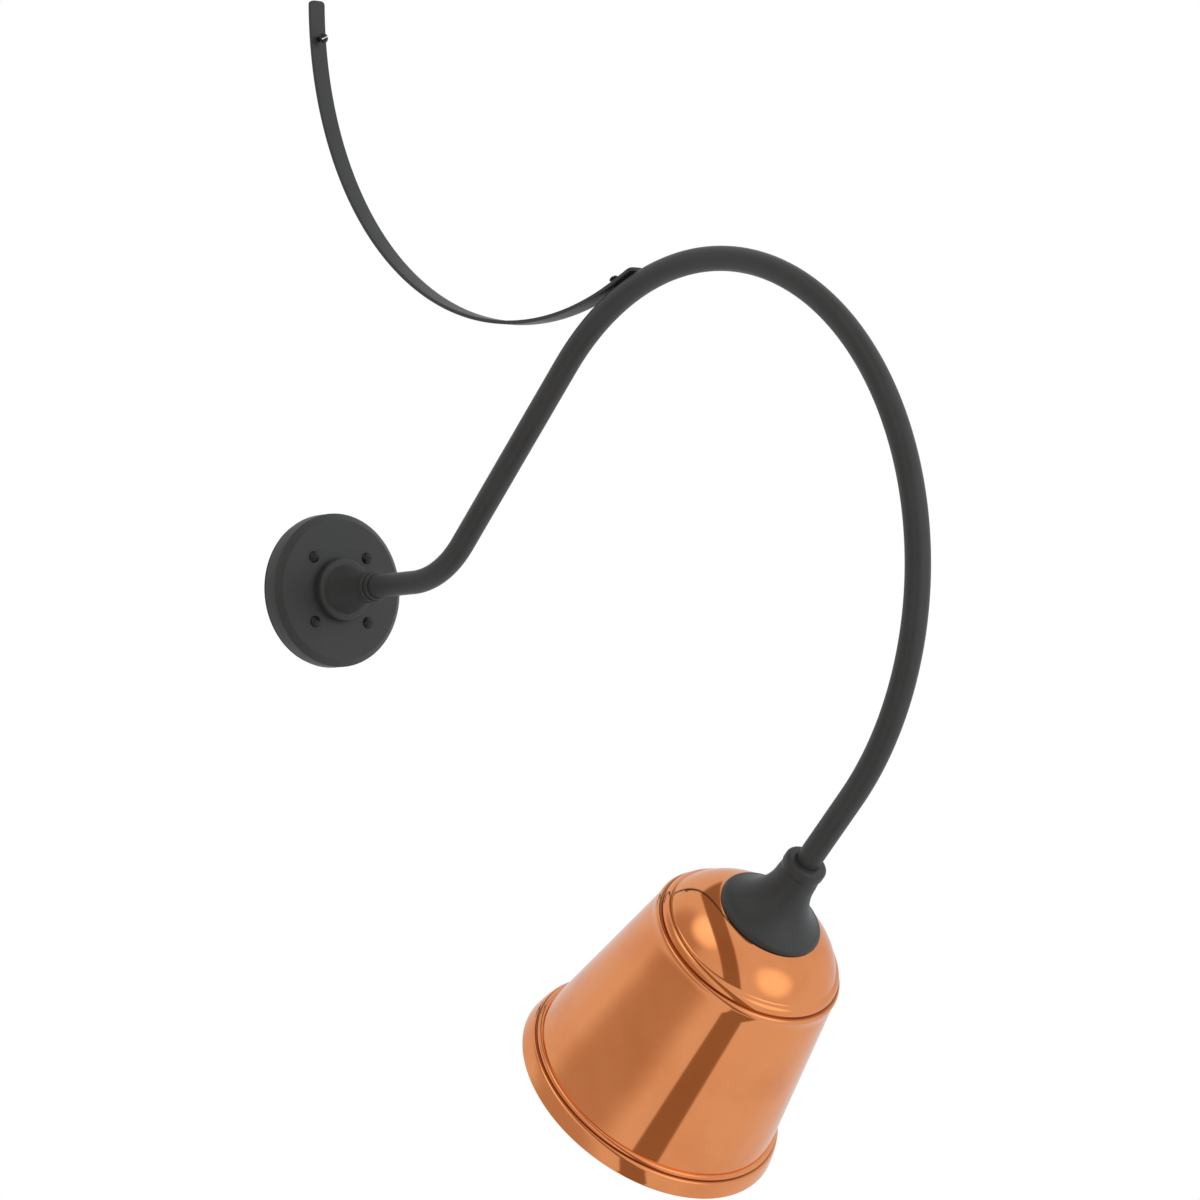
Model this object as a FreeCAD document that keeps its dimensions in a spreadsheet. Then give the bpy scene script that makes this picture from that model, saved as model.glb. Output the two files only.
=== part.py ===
import FreeCAD, Part
import math
import os
import Sketcher

Vector = FreeCAD.Vector
document = FreeCAD.newDocument("GooseneckSconce")

# Driving dimensions, in millimetres and degrees. "level" is a distance along the lamp's own axis,
# counted from the end of the crook towards the mouth of the shade.
DIMENSIONS = {
    # round wall plate with its gasket and the four wall screws
    "gasket_thick": 3.0,
    "gasket_radius": 62.5,
    "gasket_band": 14.0,
    "plate_radius": 63.5,
    "plate_side": 13.4,
    "plate_bevel_rise": 4.4,
    "plate_bevel_run": 5.5,
    "plate_wall": 3.0,
    "boss_radius": 6.0,
    "boss_clear": 2.0,
    "screw_spacing": 53.4,
    "screw_shank": 2.1,
    "screw_play": 1.2,
    "plate_screw_head": 4.7,
    "plate_screw_rise": 3.5,
    "screw_head": 4.1,
    "screw_head_rise": 3.0,
    "screw_slot": 1.2,
    "screw_slot_depth": 1.3,
    "screw_grip": 25.0,
    # cast hub on the plate
    "flange_radius": 26.0,
    "flange_thick": 8.0,
    "flange_round": 5.6,
    "hub_base_radius": 20.2,
    "hub_taper": 32.0,
    "hub_curve": 90.0,
    "hub_nose_radius": 12.4,
    "ring_radius": 13.3,
    "ring_length": 6.0,
    "ring_round": 1.5,
    "step_radius": 11.5,
    "step_length": 4.5,
    "spigot_radius": 13.9,
    "spigot_length": 8.5,
    "spigot_lip": 4.2,
    "lock_nut_radius": 20.0,
    "lock_nut_thick": 4.5,
    "fit_play": 0.05,
    # bent tube of the arm
    "tube_radius": 9.525,
    "tube_wall": 1.6,
    "arm_reach": 120.0,
    "rise_radius": 96.0,
    "rise_angle": 43.5,
    "rise_run": 189.0,
    "crook_radius": 235.5,
    "drop_angle": 137.9,
    "drop_run": 91.0,
    "bushing_wall": 1.4,
    "bushing_length": 10.0,
    "bushing_flange": 1.2,
    # flat bar that braces the arm to the wall
    "strap_width": 15.0,
    "strap_thick": 3.0,
    "strap_angle": 21.5,
    "strap_clear": 0.3,
    "strap_toe": 19.5,
    "strap_top_run": 9.5,
    "strap_corner": 3.5,
    "wall_hole_drop": 22.9,
    "arm_hole_back": 8.0,
    "wall_screw_stand": 9.7,
    "shoulder_radius": 2.3,
    "shoulder_past_wall": 1.0,
    "wall_screw_reach": 6.0,
    "arm_screw_shank": 2.5,
    "arm_screw_length": 12.5,
    "arm_screw_stand": 3.5,
    "insert_radius": 3.5,
    "insert_length": 7.5,
    # bell-shaped fitter at the lamp end of the tube
    "tube_socket": 24.5,
    "collar_radius": 16.7,
    "collar_round": 3.0,
    "collar_height": 7.5,
    "neck_radius": 15.9,
    "neck_drop": 3.0,
    "bell_radius": 16.6,
    "bell_drop": 7.0,
    "bell_curve": 40.6,
    "rim_radius": 41.0,
    "rim_height": 5.44,
    "rim_round": 4.6,
    "wire_way": 7.0,
    "core_radius": 11.0,
    "core_height": 10.0,
    # copper shade
    "crown_radius": 23.7,
    "dome_curve": 51.5,
    "dome_radius": 68.6,
    "copper": 1.2,
    "crown_hole": 14.0,
    "upper_bead_step": 4.7,
    "upper_bead_height": 7.6,
    "lower_bead_step": 3.2,
    "lower_bead_height": 4.8,
    "cone_flare": 22.5,
    "cone_height": 140.9,
    "foot_bead_step": 2.5,
    "foot_bead_height": 4.3,
    "skirt_step": 3.4,
    "skirt_drop": 2.6,
    "skirt_flare": 2.6,
    "skirt_height": 11.1,
    "hem": 2.4,
    "rim_gasket": 0.8,
    # threaded tube, washer and nut that clamp the shade to the fitter
    "nipple_radius": 4.9,
    "nipple_bore": 3.6,
    "nipple_seat": 4.0,
    "nipple_reach": 2.6,
    "washer_radius": 22.0,
    "washer_thick": 2.0,
    "shade_nut_radius": 9.0,
    "shade_nut_thick": 4.5,
    # porcelain lamp holder
    "holder_gap": 0.3,
    "holder_shoulder": 17.0,
    "holder_radius": 21.0,
    "holder_length": 48.0,
    "chamber_radius": 13.0,
    "chamber_depth": 10.0,
    "holder_floor": 4.0,
    "holder_roof": 3.0,
    "shell_bore": 13.4,
    "shell_wall": 0.5,
    "shell_length": 27.0,
    "contact_width": 5.0,
    "contact_thick": 0.6,
    "contact_rise": 2.6,
    "terminal_radius": 2.0,
    "terminal_head": 3.4,
    # lamp
    "base_radius": 13.05,
    "base_wall": 0.4,
    "base_length": 22.0,
    "insulator_height": 3.4,
    "tip_radius": 4.6,
    "tip_height": 1.4,
    "glass_radius": 30.0,
    "glass_wall": 1.0,
    "neck_rise": 0.2,
    "lamp_length": 107.0,
    "stem_radius": 5.0,
    "stem_length": 28.0,
    "stem_disc": 9.0,
    "filament_length": 34.0,
    "filament_radius": 1.0,
    "filament_ring": 6.4,
    "filament_count": 4,
    # wiring
    "wire_radius": 1.1,
    "wire_pitch": 4.4,
    "wire_turn": 5.0,
    "connector_radius": 5.2,
    "connector_tip": 3.4,
    "connector_length": 19.0,
    "connector_spacing": 13.0,
    "connector_drop": 24.0,
    "ground_screw_offset": 34.0,
    "ground_head": 4.0,
    "set_screw_radius": 2.5,
    "set_screw_length": 5.5,
    "hex_key": 1.3,
}

sheet = document.addObject("Spreadsheet::Sheet", "Sizes")
words = []


def enter(word, content):
    """Writes one named cell of the sheet."""
    words.append(word)
    row = len(words)
    sheet.set("A%d" % row, word)
    sheet.set("B%d" % row, content)
    sheet.setAlias("B%d" % row, word)


for word, number in DIMENSIONS.items():
    enter(word, str(number))
document.recompute()


class Size:
    """A length or angle that knows both its value and the sheet formula that gives it."""

    def __init__(self, value, formula):
        self.value = value
        self.formula = formula

    def _with(self, other, value, sign):
        return Size(value, "(%s %s %s)" % (self.formula, sign, as_size(other).formula))

    def __add__(self, other):
        return self._with(other, self.value + as_size(other).value, "+")

    def __sub__(self, other):
        return self._with(other, self.value - as_size(other).value, "-")

    def __mul__(self, other):
        return self._with(other, self.value * as_size(other).value, "*")

    def __truediv__(self, other):
        return self._with(other, self.value / as_size(other).value, "/")

    def __radd__(self, other):
        return as_size(other) + self

    def __rsub__(self, other):
        return as_size(other) - self

    def __rmul__(self, other):
        return as_size(other) * self


def as_size(number):
    if isinstance(number, Size):
        return number
    return Size(float(number), repr(float(number)))


def size(word):
    return Size(float(sheet.get(word)), "Sizes.%s" % word)


def derived(word, number):
    """Keeps a worked-out size in the sheet under its own word."""
    enter(word, "=" + number.formula.replace("Sizes.", ""))
    return Size(number.value, "Sizes.%s" % word)


def sine(angle):
    return Size(math.sin(math.radians(angle.value)), "sin(%s)" % angle.formula)


def cosine(angle):
    return Size(math.cos(math.radians(angle.value)), "cos(%s)" % angle.formula)


def root(number):
    return Size(math.sqrt(number.value), "sqrt(%s)" % number.formula)


def bind(thing, name, number):
    """Ties a property or a constraint of an object to the sheet."""
    thing.setExpression(name, as_size(number).formula)


def put(thing, origin=(0.0, 0.0, 0.0), tilt=0.0, axis=(1, 0, 0)):
    """Places an object at origin, turned by tilt degrees about axis."""
    spots = [as_size(number) for number in origin]
    turn = as_size(tilt)
    thing.Placement = FreeCAD.Placement(
        Vector(*[spot.value for spot in spots]),
        FreeCAD.Rotation(Vector(*axis), turn.value),
    )
    for letter, spot in zip("xyz", spots):
        bind(thing, "Placement.Base.%s" % letter, spot)
    bind(thing, "Placement.Rotation.Angle", turn)
    return thing


def new_body(label):
    body = document.addObject("PartDesign::Body", label)
    body.Label = label
    body.AllowCompound = True
    return body


def origin_feature(body, role):
    return [feature for feature in body.Origin.OriginFeatures if feature.Role == role][0]


def new_sketch(body, role, name, offset=None):
    sketch = body.newObject("Sketcher::SketchObject", name)
    sketch.AttachmentSupport = (origin_feature(body, role), [""])
    sketch.MapMode = "FlatFace"
    if offset is not None:
        sketch.AttachmentOffset = FreeCAD.Placement(Vector(0, 0, offset.value), FreeCAD.Rotation())
        bind(sketch, "AttachmentOffset.Base.z", offset)
    return sketch


def hold(sketch, kind, *terms):
    """Adds one constraint; a Size as its last term is bound to the sheet."""
    terms = list(terms)
    driven = terms[-1] if isinstance(terms[-1], Size) else None
    if driven is not None:
        terms[-1] = driven.value
    number = sketch.addConstraint(Sketcher.Constraint(kind, *terms))
    if driven is not None:
        bind(sketch, "Constraints[%d]" % number, driven)


def pin_point(sketch, edge, end, spot):
    """Fixes one end of an edge at a place given by two sizes."""
    axes = (("DistanceX", -2, spot[0]), ("DistanceY", -1, spot[1]))
    for kind, axis, number in axes:
        number = as_size(number)
        if abs(number.value) < 1e-9:
            hold(sketch, "PointOnObject", edge, end, axis)
        elif number.value > 0:
            hold(sketch, kind, -1, 1, edge, end, number)
        else:
            hold(sketch, kind, edge, end, -1, 1, 0 - number)


def outline(sketch, corners, closed=True):
    """Draws an outline. A corner is (x, y), or (x, y, radius) where an arc leads to the next
    corner: a positive radius has its centre on the left of the way there, a negative one on the right."""
    spots = [(as_size(corner[0]), as_size(corner[1])) for corner in corners]
    ends = []
    drawn = corners if closed else corners[:-1]
    for index, corner in enumerate(drawn):
        start = spots[index]
        stop = spots[(index + 1) % len(corners)]
        first = Vector(start[0].value, start[1].value, 0)
        last = Vector(stop[0].value, stop[1].value, 0)
        if len(corner) == 2:
            edge = sketch.addGeometry(Part.LineSegment(first, last))
            ends.append((edge, 1, 2))
            continue
        radius = as_size(corner[2])
        left = radius.value > 0
        reach = abs(radius.value)
        chord = last - first
        rise = math.sqrt(max(reach ** 2 - (chord.Length / 2) ** 2, 0.0))
        across = Vector(-chord.y, chord.x, 0).normalize() * (rise if left else -rise)
        centre = (first + last) * 0.5 + across
        begin, finish = (first, last) if left else (last, first)
        begin_angle = math.atan2(begin.y - centre.y, begin.x - centre.x)
        finish_angle = math.atan2(finish.y - centre.y, finish.x - centre.x)
        circle = Part.Circle(centre, Vector(0, 0, 1), reach)
        edge = sketch.addGeometry(Part.ArcOfCircle(circle, begin_angle, finish_angle))
        ends.append((edge, 1, 2) if left else (edge, 2, 1))
        hold(sketch, "Radius", edge, radius if left else as_size(0) - radius)
    for index, (edge, first_end, last_end) in enumerate(ends):
        pin_point(sketch, edge, first_end, spots[index])
        if closed or index + 1 < len(ends):
            following = ends[(index + 1) % len(ends)]
            hold(sketch, "Coincident", edge, last_end, following[0], following[1])
        else:
            pin_point(sketch, edge, last_end, spots[-1])


def circles(sketch, radii, centre=(0.0, 0.0)):
    for radius in radii:
        middle = Vector(as_size(centre[0]).value, as_size(centre[1]).value, 0)
        edge = sketch.addGeometry(Part.Circle(middle, Vector(0, 0, 1), radius.value))
        pin_point(sketch, edge, 3, centre)
        hold(sketch, "Radius", edge, radius)


def turned(label, corners, name="profile"):
    """A turned piece: an outline of (radius, height) spun about the piece's own upright axis."""
    body = new_body(label)
    sketch = new_sketch(body, "XZ_Plane", "%s_%s" % (label, name))
    outline(sketch, corners)
    spin = body.newObject("PartDesign::Revolution", "%s_turned" % label)
    spin.Profile = sketch
    spin.ReferenceAxis = (sketch, ["V_Axis"])
    spin.Angle = 360
    document.recompute()
    return body


def peg(label, radius, length, origin, direction):
    """A plain round tool or pin from origin along direction, for holes and small parts."""
    cylinder = document.addObject("Part::Cylinder", label)
    cylinder.Label = label
    cylinder.Radius = as_size(radius).value
    cylinder.Height = as_size(length).value
    bind(cylinder, "Radius", radius)
    bind(cylinder, "Height", length)
    aim(cylinder, origin, direction)
    return cylinder


def aim(thing, origin, direction):
    """Places an object at origin with its upright axis along direction, in the plane of the arm or
    along the width."""
    spots = [as_size(number) for number in origin]
    thing.Placement = FreeCAD.Placement(
        Vector(*[spot.value for spot in spots]),
        FreeCAD.Rotation(Vector(0, 0, 1), Vector(*direction)),
    )
    for letter, spot in zip("xyz", spots):
        bind(thing, "Placement.Base.%s" % letter, spot)


def joined(label, pieces):
    union = document.addObject("Part::MultiFuse", label)
    union.Label = label
    union.Shapes = pieces
    return union


def drilled(label, blank, tool):
    """The blank less its tool, under the piece's own name."""
    blank.Label = "%s_blank" % label
    cut = document.addObject("Part::Cut", label)
    cut.Label = label
    cut.Base = blank
    cut.Tool = tool
    return cut


def at_wall(thing, across=0.0, up=0.0):
    """Turns a piece so that its own upright axis leaves the wall."""
    return put(thing, (across, 0.0, up), 90.0)


def in_arm_plane(thing):
    """Turns a piece so that its first axis is the reach into the room and its third axis is up."""
    return put(thing, tilt=90.0, axis=(0, 0, -1))


def pad(body, sketch, name, length, both_ways=False):
    feature = body.newObject("PartDesign::Pad", name)
    feature.Profile = sketch
    feature.Length = length.value
    feature.SideType = "Symmetric" if both_ways else "One side"
    bind(feature, "Length", length)
    return feature


def pocket(body, sketch, name, length, forward=True):
    """Cuts a sketch into its body, along the sketch's own normal unless forward is False."""
    feature = body.newObject("PartDesign::Pocket", name)
    feature.Profile = sketch
    feature.Length = length.value
    feature.Reversed = forward
    bind(feature, "Length", length)
    return feature


def slot(body, label, level, depth, half_width, half_length):
    """A screwdriver slot cut from a head's top at level, down to depth below it."""
    sketch = new_sketch(body, "XY_Plane", "%s_slot_outline" % label, level - depth)
    left = 0 - half_length
    low = 0 - half_width
    corners = [(left, low), (half_length, low), (half_length, half_width), (left, half_width)]
    outline(sketch, corners)
    return pocket(body, sketch, "%s_slot" % label, depth * 2)


def hexagon(sketch, radius):
    tall = radius * math.sin(math.radians(60))
    corners = [
        (radius, 0.0),
        (radius / 2, tall),
        (0 - radius / 2, tall),
        (0 - radius, 0.0),
        (0 - radius / 2, 0 - tall),
        (radius / 2, 0 - tall),
    ]
    outline(sketch, corners)


def hex_nut(label, radius, bore, thickness, level):
    body = new_body(label)
    sketch = new_sketch(body, "XY_Plane", "%s_outline" % label, level)
    hexagon(sketch, radius)
    circles(sketch, [bore])
    pad(body, sketch, "%s_thickness" % label, thickness)
    return body


def round_screw(label, head, rise, shank, length, level, shoulder=None):
    """A slotted round-head screw: its head stands on level and its shank goes length below it.
    A shoulder (radius, length) thickens the shank under the head."""
    flat = head * 0.45
    dome = (head * head + rise * rise) / (rise * 2) * 0.93
    corners = [
        (0.0, level - length),
        (shank * 0.55, level - length),
        (shank, level - length + shank),
    ]
    if shoulder is None:
        corners.append((shank, level))
    else:
        corners.append((shank, level - shoulder[1]))
        corners.append((shoulder[0], level - shoulder[1]))
        corners.append((shoulder[0], level))
    corners += [
        (head, level),
        (head, level + rise * 0.25, dome * 0.72),
        (flat, level + rise),
        (0.0, level + rise),
    ]
    body = turned(label, corners)
    slot(body, label, level + rise, size("screw_slot_depth"), size("screw_slot") / 2, head * 1.3)
    return body


def repeated(body, label, features, steps):
    """Repeats features of a body along its first and second axes; steps give (role, distance)."""
    rows = []
    for role, distance in steps:
        line = document.addObject("PartDesign::LinearPattern", "%s_%s_step" % (label, role[0]))
        body.addObject(line)
        line.Direction = (origin_feature(body, role), [""])
        line.Length = distance.value
        line.Occurrences = 2
        bind(line, "Length", distance)
        rows.append(line)
    grid = body.newObject("PartDesign::MultiTransform", "%s_repeated" % label)
    grid.Originals = features
    grid.Transformations = rows
    body.Tip = grid
    return grid


# Levels of the wall plate, counted from the wall
face = derived("plate_face", size("gasket_thick") + size("plate_side") + size("plate_bevel_rise"))
back = derived("plate_back", face - size("plate_wall"))
half = derived("half_spacing", size("screw_spacing") / 2)
bore = derived("tube_bore", size("tube_radius") + size("fit_play"))
bevel_edge = size("plate_radius") - size("plate_bevel_run")

gasket = turned(
    "wall_gasket",
    [
        (size("gasket_radius") - size("gasket_band"), 0.0),
        (size("gasket_radius"), 0.0),
        (size("gasket_radius"), size("gasket_thick")),
        (size("gasket_radius") - size("gasket_band"), size("gasket_thick")),
    ],
)
at_wall(gasket)

# Round wall plate: a cup with a bevelled edge, four screw bosses and a boss for the ground screw
inner_wall = size("plate_radius") - size("plate_wall")
plate = turned(
    "wall_plate",
    [
        (size("spigot_radius") + size("fit_play"), back),
        (bevel_edge - 1.2, back),
        (inner_wall, face - size("plate_bevel_rise") - 1.5),
        (inner_wall, size("gasket_thick")),
        (size("plate_radius"), size("gasket_thick")),
        (size("plate_radius"), size("gasket_thick") + size("plate_side")),
        (bevel_edge, face),
        (size("spigot_radius") + size("fit_play"), face),
    ],
)
corner_spots = [(half * across, half * up) for across in (-1, 1) for up in (-1, 1)]
ground_spot = (0 - size("ground_screw_offset"), 0.0)
ground_floor = derived("ground_floor", back - 4.0)
boss_sketch = new_sketch(plate, "XY_Plane", "screw_bosses_outline", size("boss_clear"))
for spot in corner_spots:
    circles(boss_sketch, [size("boss_radius")], spot)
pad(plate, boss_sketch, "screw_bosses", back + 0.5 - size("boss_clear"))
ground_boss_sketch = new_sketch(plate, "XY_Plane", "ground_boss_outline", ground_floor)
circles(ground_boss_sketch, [size("ground_head") + 1.0], ground_spot)
pad(plate, ground_boss_sketch, "ground_boss", as_size(4.5))
hole_sketch = new_sketch(plate, "XY_Plane", "screw_holes_outline")
for spot in corner_spots:
    circles(hole_sketch, [size("screw_shank") + size("screw_play")], spot)
document.recompute()
pocket(plate, hole_sketch, "screw_holes", face + 1.0)
ground_hole_sketch = new_sketch(plate, "XY_Plane", "ground_hole_outline", ground_floor)
circles(ground_hole_sketch, [size("terminal_radius") + size("fit_play")], ground_spot)
pocket(plate, ground_hole_sketch, "ground_hole", as_size(5.5))
at_wall(plate)

# Four wall screws with level slots
screws = round_screw(
    "plate_screws",
    size("plate_screw_head"),
    size("plate_screw_rise"),
    size("screw_shank"),
    size("screw_grip") + face,
    face,
)
screw_features = [f for f in screws.Group if f.TypeId in ("PartDesign::Revolution", "PartDesign::Pocket")]
repeated(
    screws,
    "plate_screws",
    screw_features,
    [("X_Axis", size("screw_spacing")), ("Y_Axis", size("screw_spacing"))],
)
at_wall(screws, 0 - half, 0 - half)

# Cast hub: flange, tapering body, end ring and step, with a spigot through the plate
flange_top = derived("flange_top", face + size("flange_thick"))
flange_edge = size("flange_radius") - size("flange_round")
taper_end = derived("taper_end", flange_top + size("hub_taper"))
ring_end = derived("ring_end", taper_end + size("ring_length"))
ring_inner = size("ring_radius") - size("ring_round")
hub_end = derived("hub_end", ring_end + size("step_length"))
spigot_foot = derived("spigot_foot", face - size("spigot_length"))
tube_seat = derived("tube_seat", spigot_foot + size("spigot_lip"))
hub = turned(
    "hub",
    [
        (size("tube_radius") - 0.9, spigot_foot),
        (size("spigot_radius"), spigot_foot),
        (size("spigot_radius"), face),
        (size("flange_radius"), face),
        (size("flange_radius"), flange_top - size("flange_round"), size("flange_round")),
        (flange_edge, flange_top),
        (size("hub_base_radius"), flange_top, size("hub_curve") * -1),
        (size("hub_nose_radius"), taper_end),
        (ring_inner, taper_end, size("ring_round")),
        (size("ring_radius"), taper_end + size("ring_round")),
        (size("ring_radius"), ring_end - size("ring_round"), size("ring_round")),
        (ring_inner, ring_end),
        (size("step_radius"), ring_end),
        (size("step_radius"), hub_end),
        (bore, hub_end),
        (bore, tube_seat),
        (size("tube_radius") - 0.9, tube_seat),
    ],
)


def cross_hole(body, label, level):
    """A threaded hole through the first side of a sleeve, at level along its axis."""
    sketch = new_sketch(body, "YZ_Plane", "%s_cross_hole_outline" % label)
    circles(sketch, [size("set_screw_radius") + size("fit_play")], (0.0, level))
    document.recompute()
    return pocket(body, sketch, "%s_cross_hole" % label, size("hub_base_radius") * 2)


def set_screw(label):
    """A headless screw with a hexagon socket in its outer end, lying along its own upright axis."""
    length = size("set_screw_length")
    body = turned(
        label,
        [
            (0.0, 0.0),
            (size("set_screw_radius") - 0.8, 0.0),
            (size("set_screw_radius"), 0.8),
            (size("set_screw_radius"), length - 0.4),
            (size("set_screw_radius") - 0.4, length),
            (0.0, length),
        ],
    )
    sketch = new_sketch(body, "XY_Plane", "%s_socket_outline" % label, length - 2.4)
    hexagon(sketch, size("hex_key"))
    pocket(body, sketch, "%s_socket" % label, as_size(3.0))
    return body


hub_screw_level = derived("hub_screw_level", taper_end - 10.8)
cross_hole(hub, "hub", hub_screw_level)
at_wall(hub)
hub_screw = set_screw("hub_set_screw")
put(hub_screw, (bore, 0 - hub_screw_level, 0.0), 90.0, (0, 1, 0))
lock_nut = hex_nut(
    "hub_lock_nut",
    size("lock_nut_radius"),
    size("spigot_radius") + size("fit_play"),
    size("lock_nut_thick"),
    back - size("lock_nut_thick"),
)
at_wall(lock_nut)

# Ground screw, driven from behind, with its wire clamped under the head
ground_head_level = derived("ground_head_level", ground_floor - size("wire_radius") * 2)
ground_screw = round_screw(
    "ground_screw",
    size("ground_head"),
    as_size(2.4),
    size("terminal_radius"),
    size("wire_radius") * 2 + 5.0,
    as_size(0.0),
)
put(ground_screw, (ground_spot[0], 0 - ground_head_level, 0.0), 90.0, (-1, 0, 0))

# Bent arm tube: run, rise, straight slope, crook and a straight end in the fitter
rise = size("rise_angle")
drop = size("drop_angle")
turn_one = size("rise_radius")
turn_two = size("crook_radius")
rise_end_out = derived("rise_end_out", size("arm_reach") + turn_one * sine(rise))
rise_end_up = derived("rise_end_up", turn_one - turn_one * cosine(rise))
slope_end_out = derived("slope_end_out", rise_end_out + size("rise_run") * cosine(rise))
slope_end_up = derived("slope_end_up", rise_end_up + size("rise_run") * sine(rise))
crook_out = derived("crook_out", slope_end_out + turn_two * sine(rise))
crook_up = derived("crook_up", slope_end_up - turn_two * cosine(rise))
drop_out = derived("drop_out", crook_out + turn_two * sine(drop))
drop_up = derived("drop_up", crook_up + turn_two * cosine(drop))
tube_end = derived("tube_end", size("drop_run"))
arm_start = derived("arm_start", tube_seat + 0.1)
arm = new_body("arm_tube")
spine = new_sketch(arm, "XZ_Plane", "arm_route")
outline(
    spine,
    [
        (arm_start, 0.0),
        (size("arm_reach"), 0.0, turn_one),
        (rise_end_out, rise_end_up),
        (slope_end_out, slope_end_up, 0 - turn_two),
        (crook_out, crook_up + turn_two, 0 - turn_two),
        (drop_out, drop_up),
        (drop_out + tube_end * cosine(drop), drop_up - tube_end * sine(drop)),
    ],
    closed=False,
)
ring = new_sketch(arm, "YZ_Plane", "arm_section", arm_start)
circles(ring, [size("tube_radius"), size("tube_radius") - size("tube_wall")])
document.recompute()
pipe = arm.newObject("PartDesign::AdditivePipe", "arm_bend")
pipe.Profile = ring
pipe.Spine = (spine, ["Edge%d" % number for number in range(1, 7)])
in_arm_plane(arm)

sleeve = size("tube_radius") - size("tube_wall") - size("fit_play")
bushing = turned(
    "wall_end_bushing",
    [
        (sleeve - size("bushing_wall"), arm_start - size("bushing_flange")),
        (size("tube_radius") - 1.1, arm_start - size("bushing_flange")),
        (size("tube_radius") - 1.1, arm_start),
        (sleeve, arm_start),
        (sleeve, arm_start + size("bushing_length")),
        (sleeve - size("bushing_wall"), arm_start + size("bushing_length")),
    ],
)
at_wall(bushing)

# Flat-bar brace: straight at the wall, one arc down to the crook and a straight toe
lean = size("strap_angle")
half_thick = size("strap_thick") / 2
strap_orbit = derived(
    "strap_orbit", turn_two + size("tube_radius") + size("strap_clear") + half_thick
)
strap_curve = derived(
    "strap_curve", (crook_out - half_thick - strap_orbit * sine(lean)) / (sine(lean) + 1.0)
)
bow_out = derived("bow_out", strap_curve + half_thick)
bow_up = derived("bow_up", crook_up + (strap_orbit + strap_curve) * cosine(lean))


def bow_spot(radius, angle):
    """A place (out, up) on the bow at radius, angle past its lowest point."""
    return (bow_out + radius * sine(angle), bow_up - radius * cosine(angle))


strap = new_body("strap_blank")
strap_sketch = new_sketch(strap, "XZ_Plane", "strap_outline")
strap_top = derived("strap_top", bow_up + size("strap_top_run"))
under = strap_curve + half_thick
over = strap_curve - half_thick
toe = (size("strap_toe") * cosine(lean), size("strap_toe") * sine(lean))
under_contact = bow_spot(under, lean)
over_contact = bow_spot(over, lean)
outline(
    strap_sketch,
    [
        (0.0, strap_top),
        (0.0, bow_up, under),
        under_contact,
        (under_contact[0] + toe[0], under_contact[1] + toe[1]),
        (over_contact[0] + toe[0], over_contact[1] + toe[1]),
        (over_contact[0], over_contact[1], 0 - over),
        (size("strap_thick"), bow_up),
        (size("strap_thick"), strap_top),
    ],
)
bar = pad(strap, strap_sketch, "strap_bar", size("strap_width"), both_ways=True)
document.recompute()
corner_edges = []
for number, edge in enumerate(strap.Shape.Edges, start=1):
    middle = edge.BoundBox.Center
    at_side = abs(abs(middle.y) - size("strap_width").value / 2) < 0.01
    at_top = abs(middle.z - strap_top.value) < 0.01
    past_toe = middle.x > (over_contact[0] + toe[0]).value
    across = abs(edge.Length - size("strap_thick").value) < 0.01
    if at_side and across and (at_top or past_toe):
        corner_edges.append("Edge%d" % number)
rounding = strap.newObject("PartDesign::Fillet", "strap_corners")
rounding.Base = (bar, corner_edges)
rounding.Radius = size("strap_corner").value
bind(rounding, "Radius", size("strap_corner"))
in_arm_plane(strap)

wall_hole_up = derived("wall_hole_up", bow_up - size("wall_hole_drop"))
screw_lean = derived("screw_lean", lean - size("arm_hole_back") / strap_curve * math.degrees(1.0))
screw_out, screw_up = bow_spot(strap_curve, screw_lean)
screw_out = derived("screw_out", screw_out)
screw_up = derived("screw_up", screw_up)
screw_way = (sine(screw_lean), cosine(screw_lean))
way = Vector(0, screw_way[0].value, screw_way[1].value)


def along_screw(distance):
    """The place in the room at distance above the strap's middle, along the arm screw's axis."""
    out = screw_out - screw_way[0] * distance
    return (0.0, 0 - out, screw_up + screw_way[1] * distance)


def tilted(thing, distance):
    """Stands a piece on the arm screw's axis."""
    return put(thing, along_screw(distance), screw_lean, (-1, 0, 0))


upper_tool = peg(
    "strap_wall_hole",
    size("shoulder_radius") + size("fit_play"),
    as_size(20.0),
    (0.0, 5.0, wall_hole_up),
    (0, -1, 0),
)
lower_tool = peg(
    "strap_arm_hole",
    size("arm_screw_shank") + size("fit_play") * 2,
    as_size(12.0),
    along_screw(-6.0),
    (0, way.y, way.z),
)
drilled("strap", strap, joined("strap_holes", [upper_tool, lower_tool]))

wall_screw_head = derived("wall_screw_head", size("wall_screw_stand") + 1.0)
strap_wall_screw = round_screw(
    "strap_wall_screw",
    size("screw_head"),
    size("screw_head_rise"),
    size("screw_shank"),
    wall_screw_head + size("wall_screw_reach"),
    wall_screw_head,
    (size("shoulder_radius"), wall_screw_head + size("shoulder_past_wall")),
)
strap_wall_screw.Placement = FreeCAD.Placement(
    Vector(0, 0, wall_hole_up.value),
    FreeCAD.Rotation(Vector(1, 0, 0), 90) * FreeCAD.Rotation(Vector(0, 0, 1), 25),
)
bind(strap_wall_screw, "Placement.Base.z", wall_hole_up)

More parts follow.
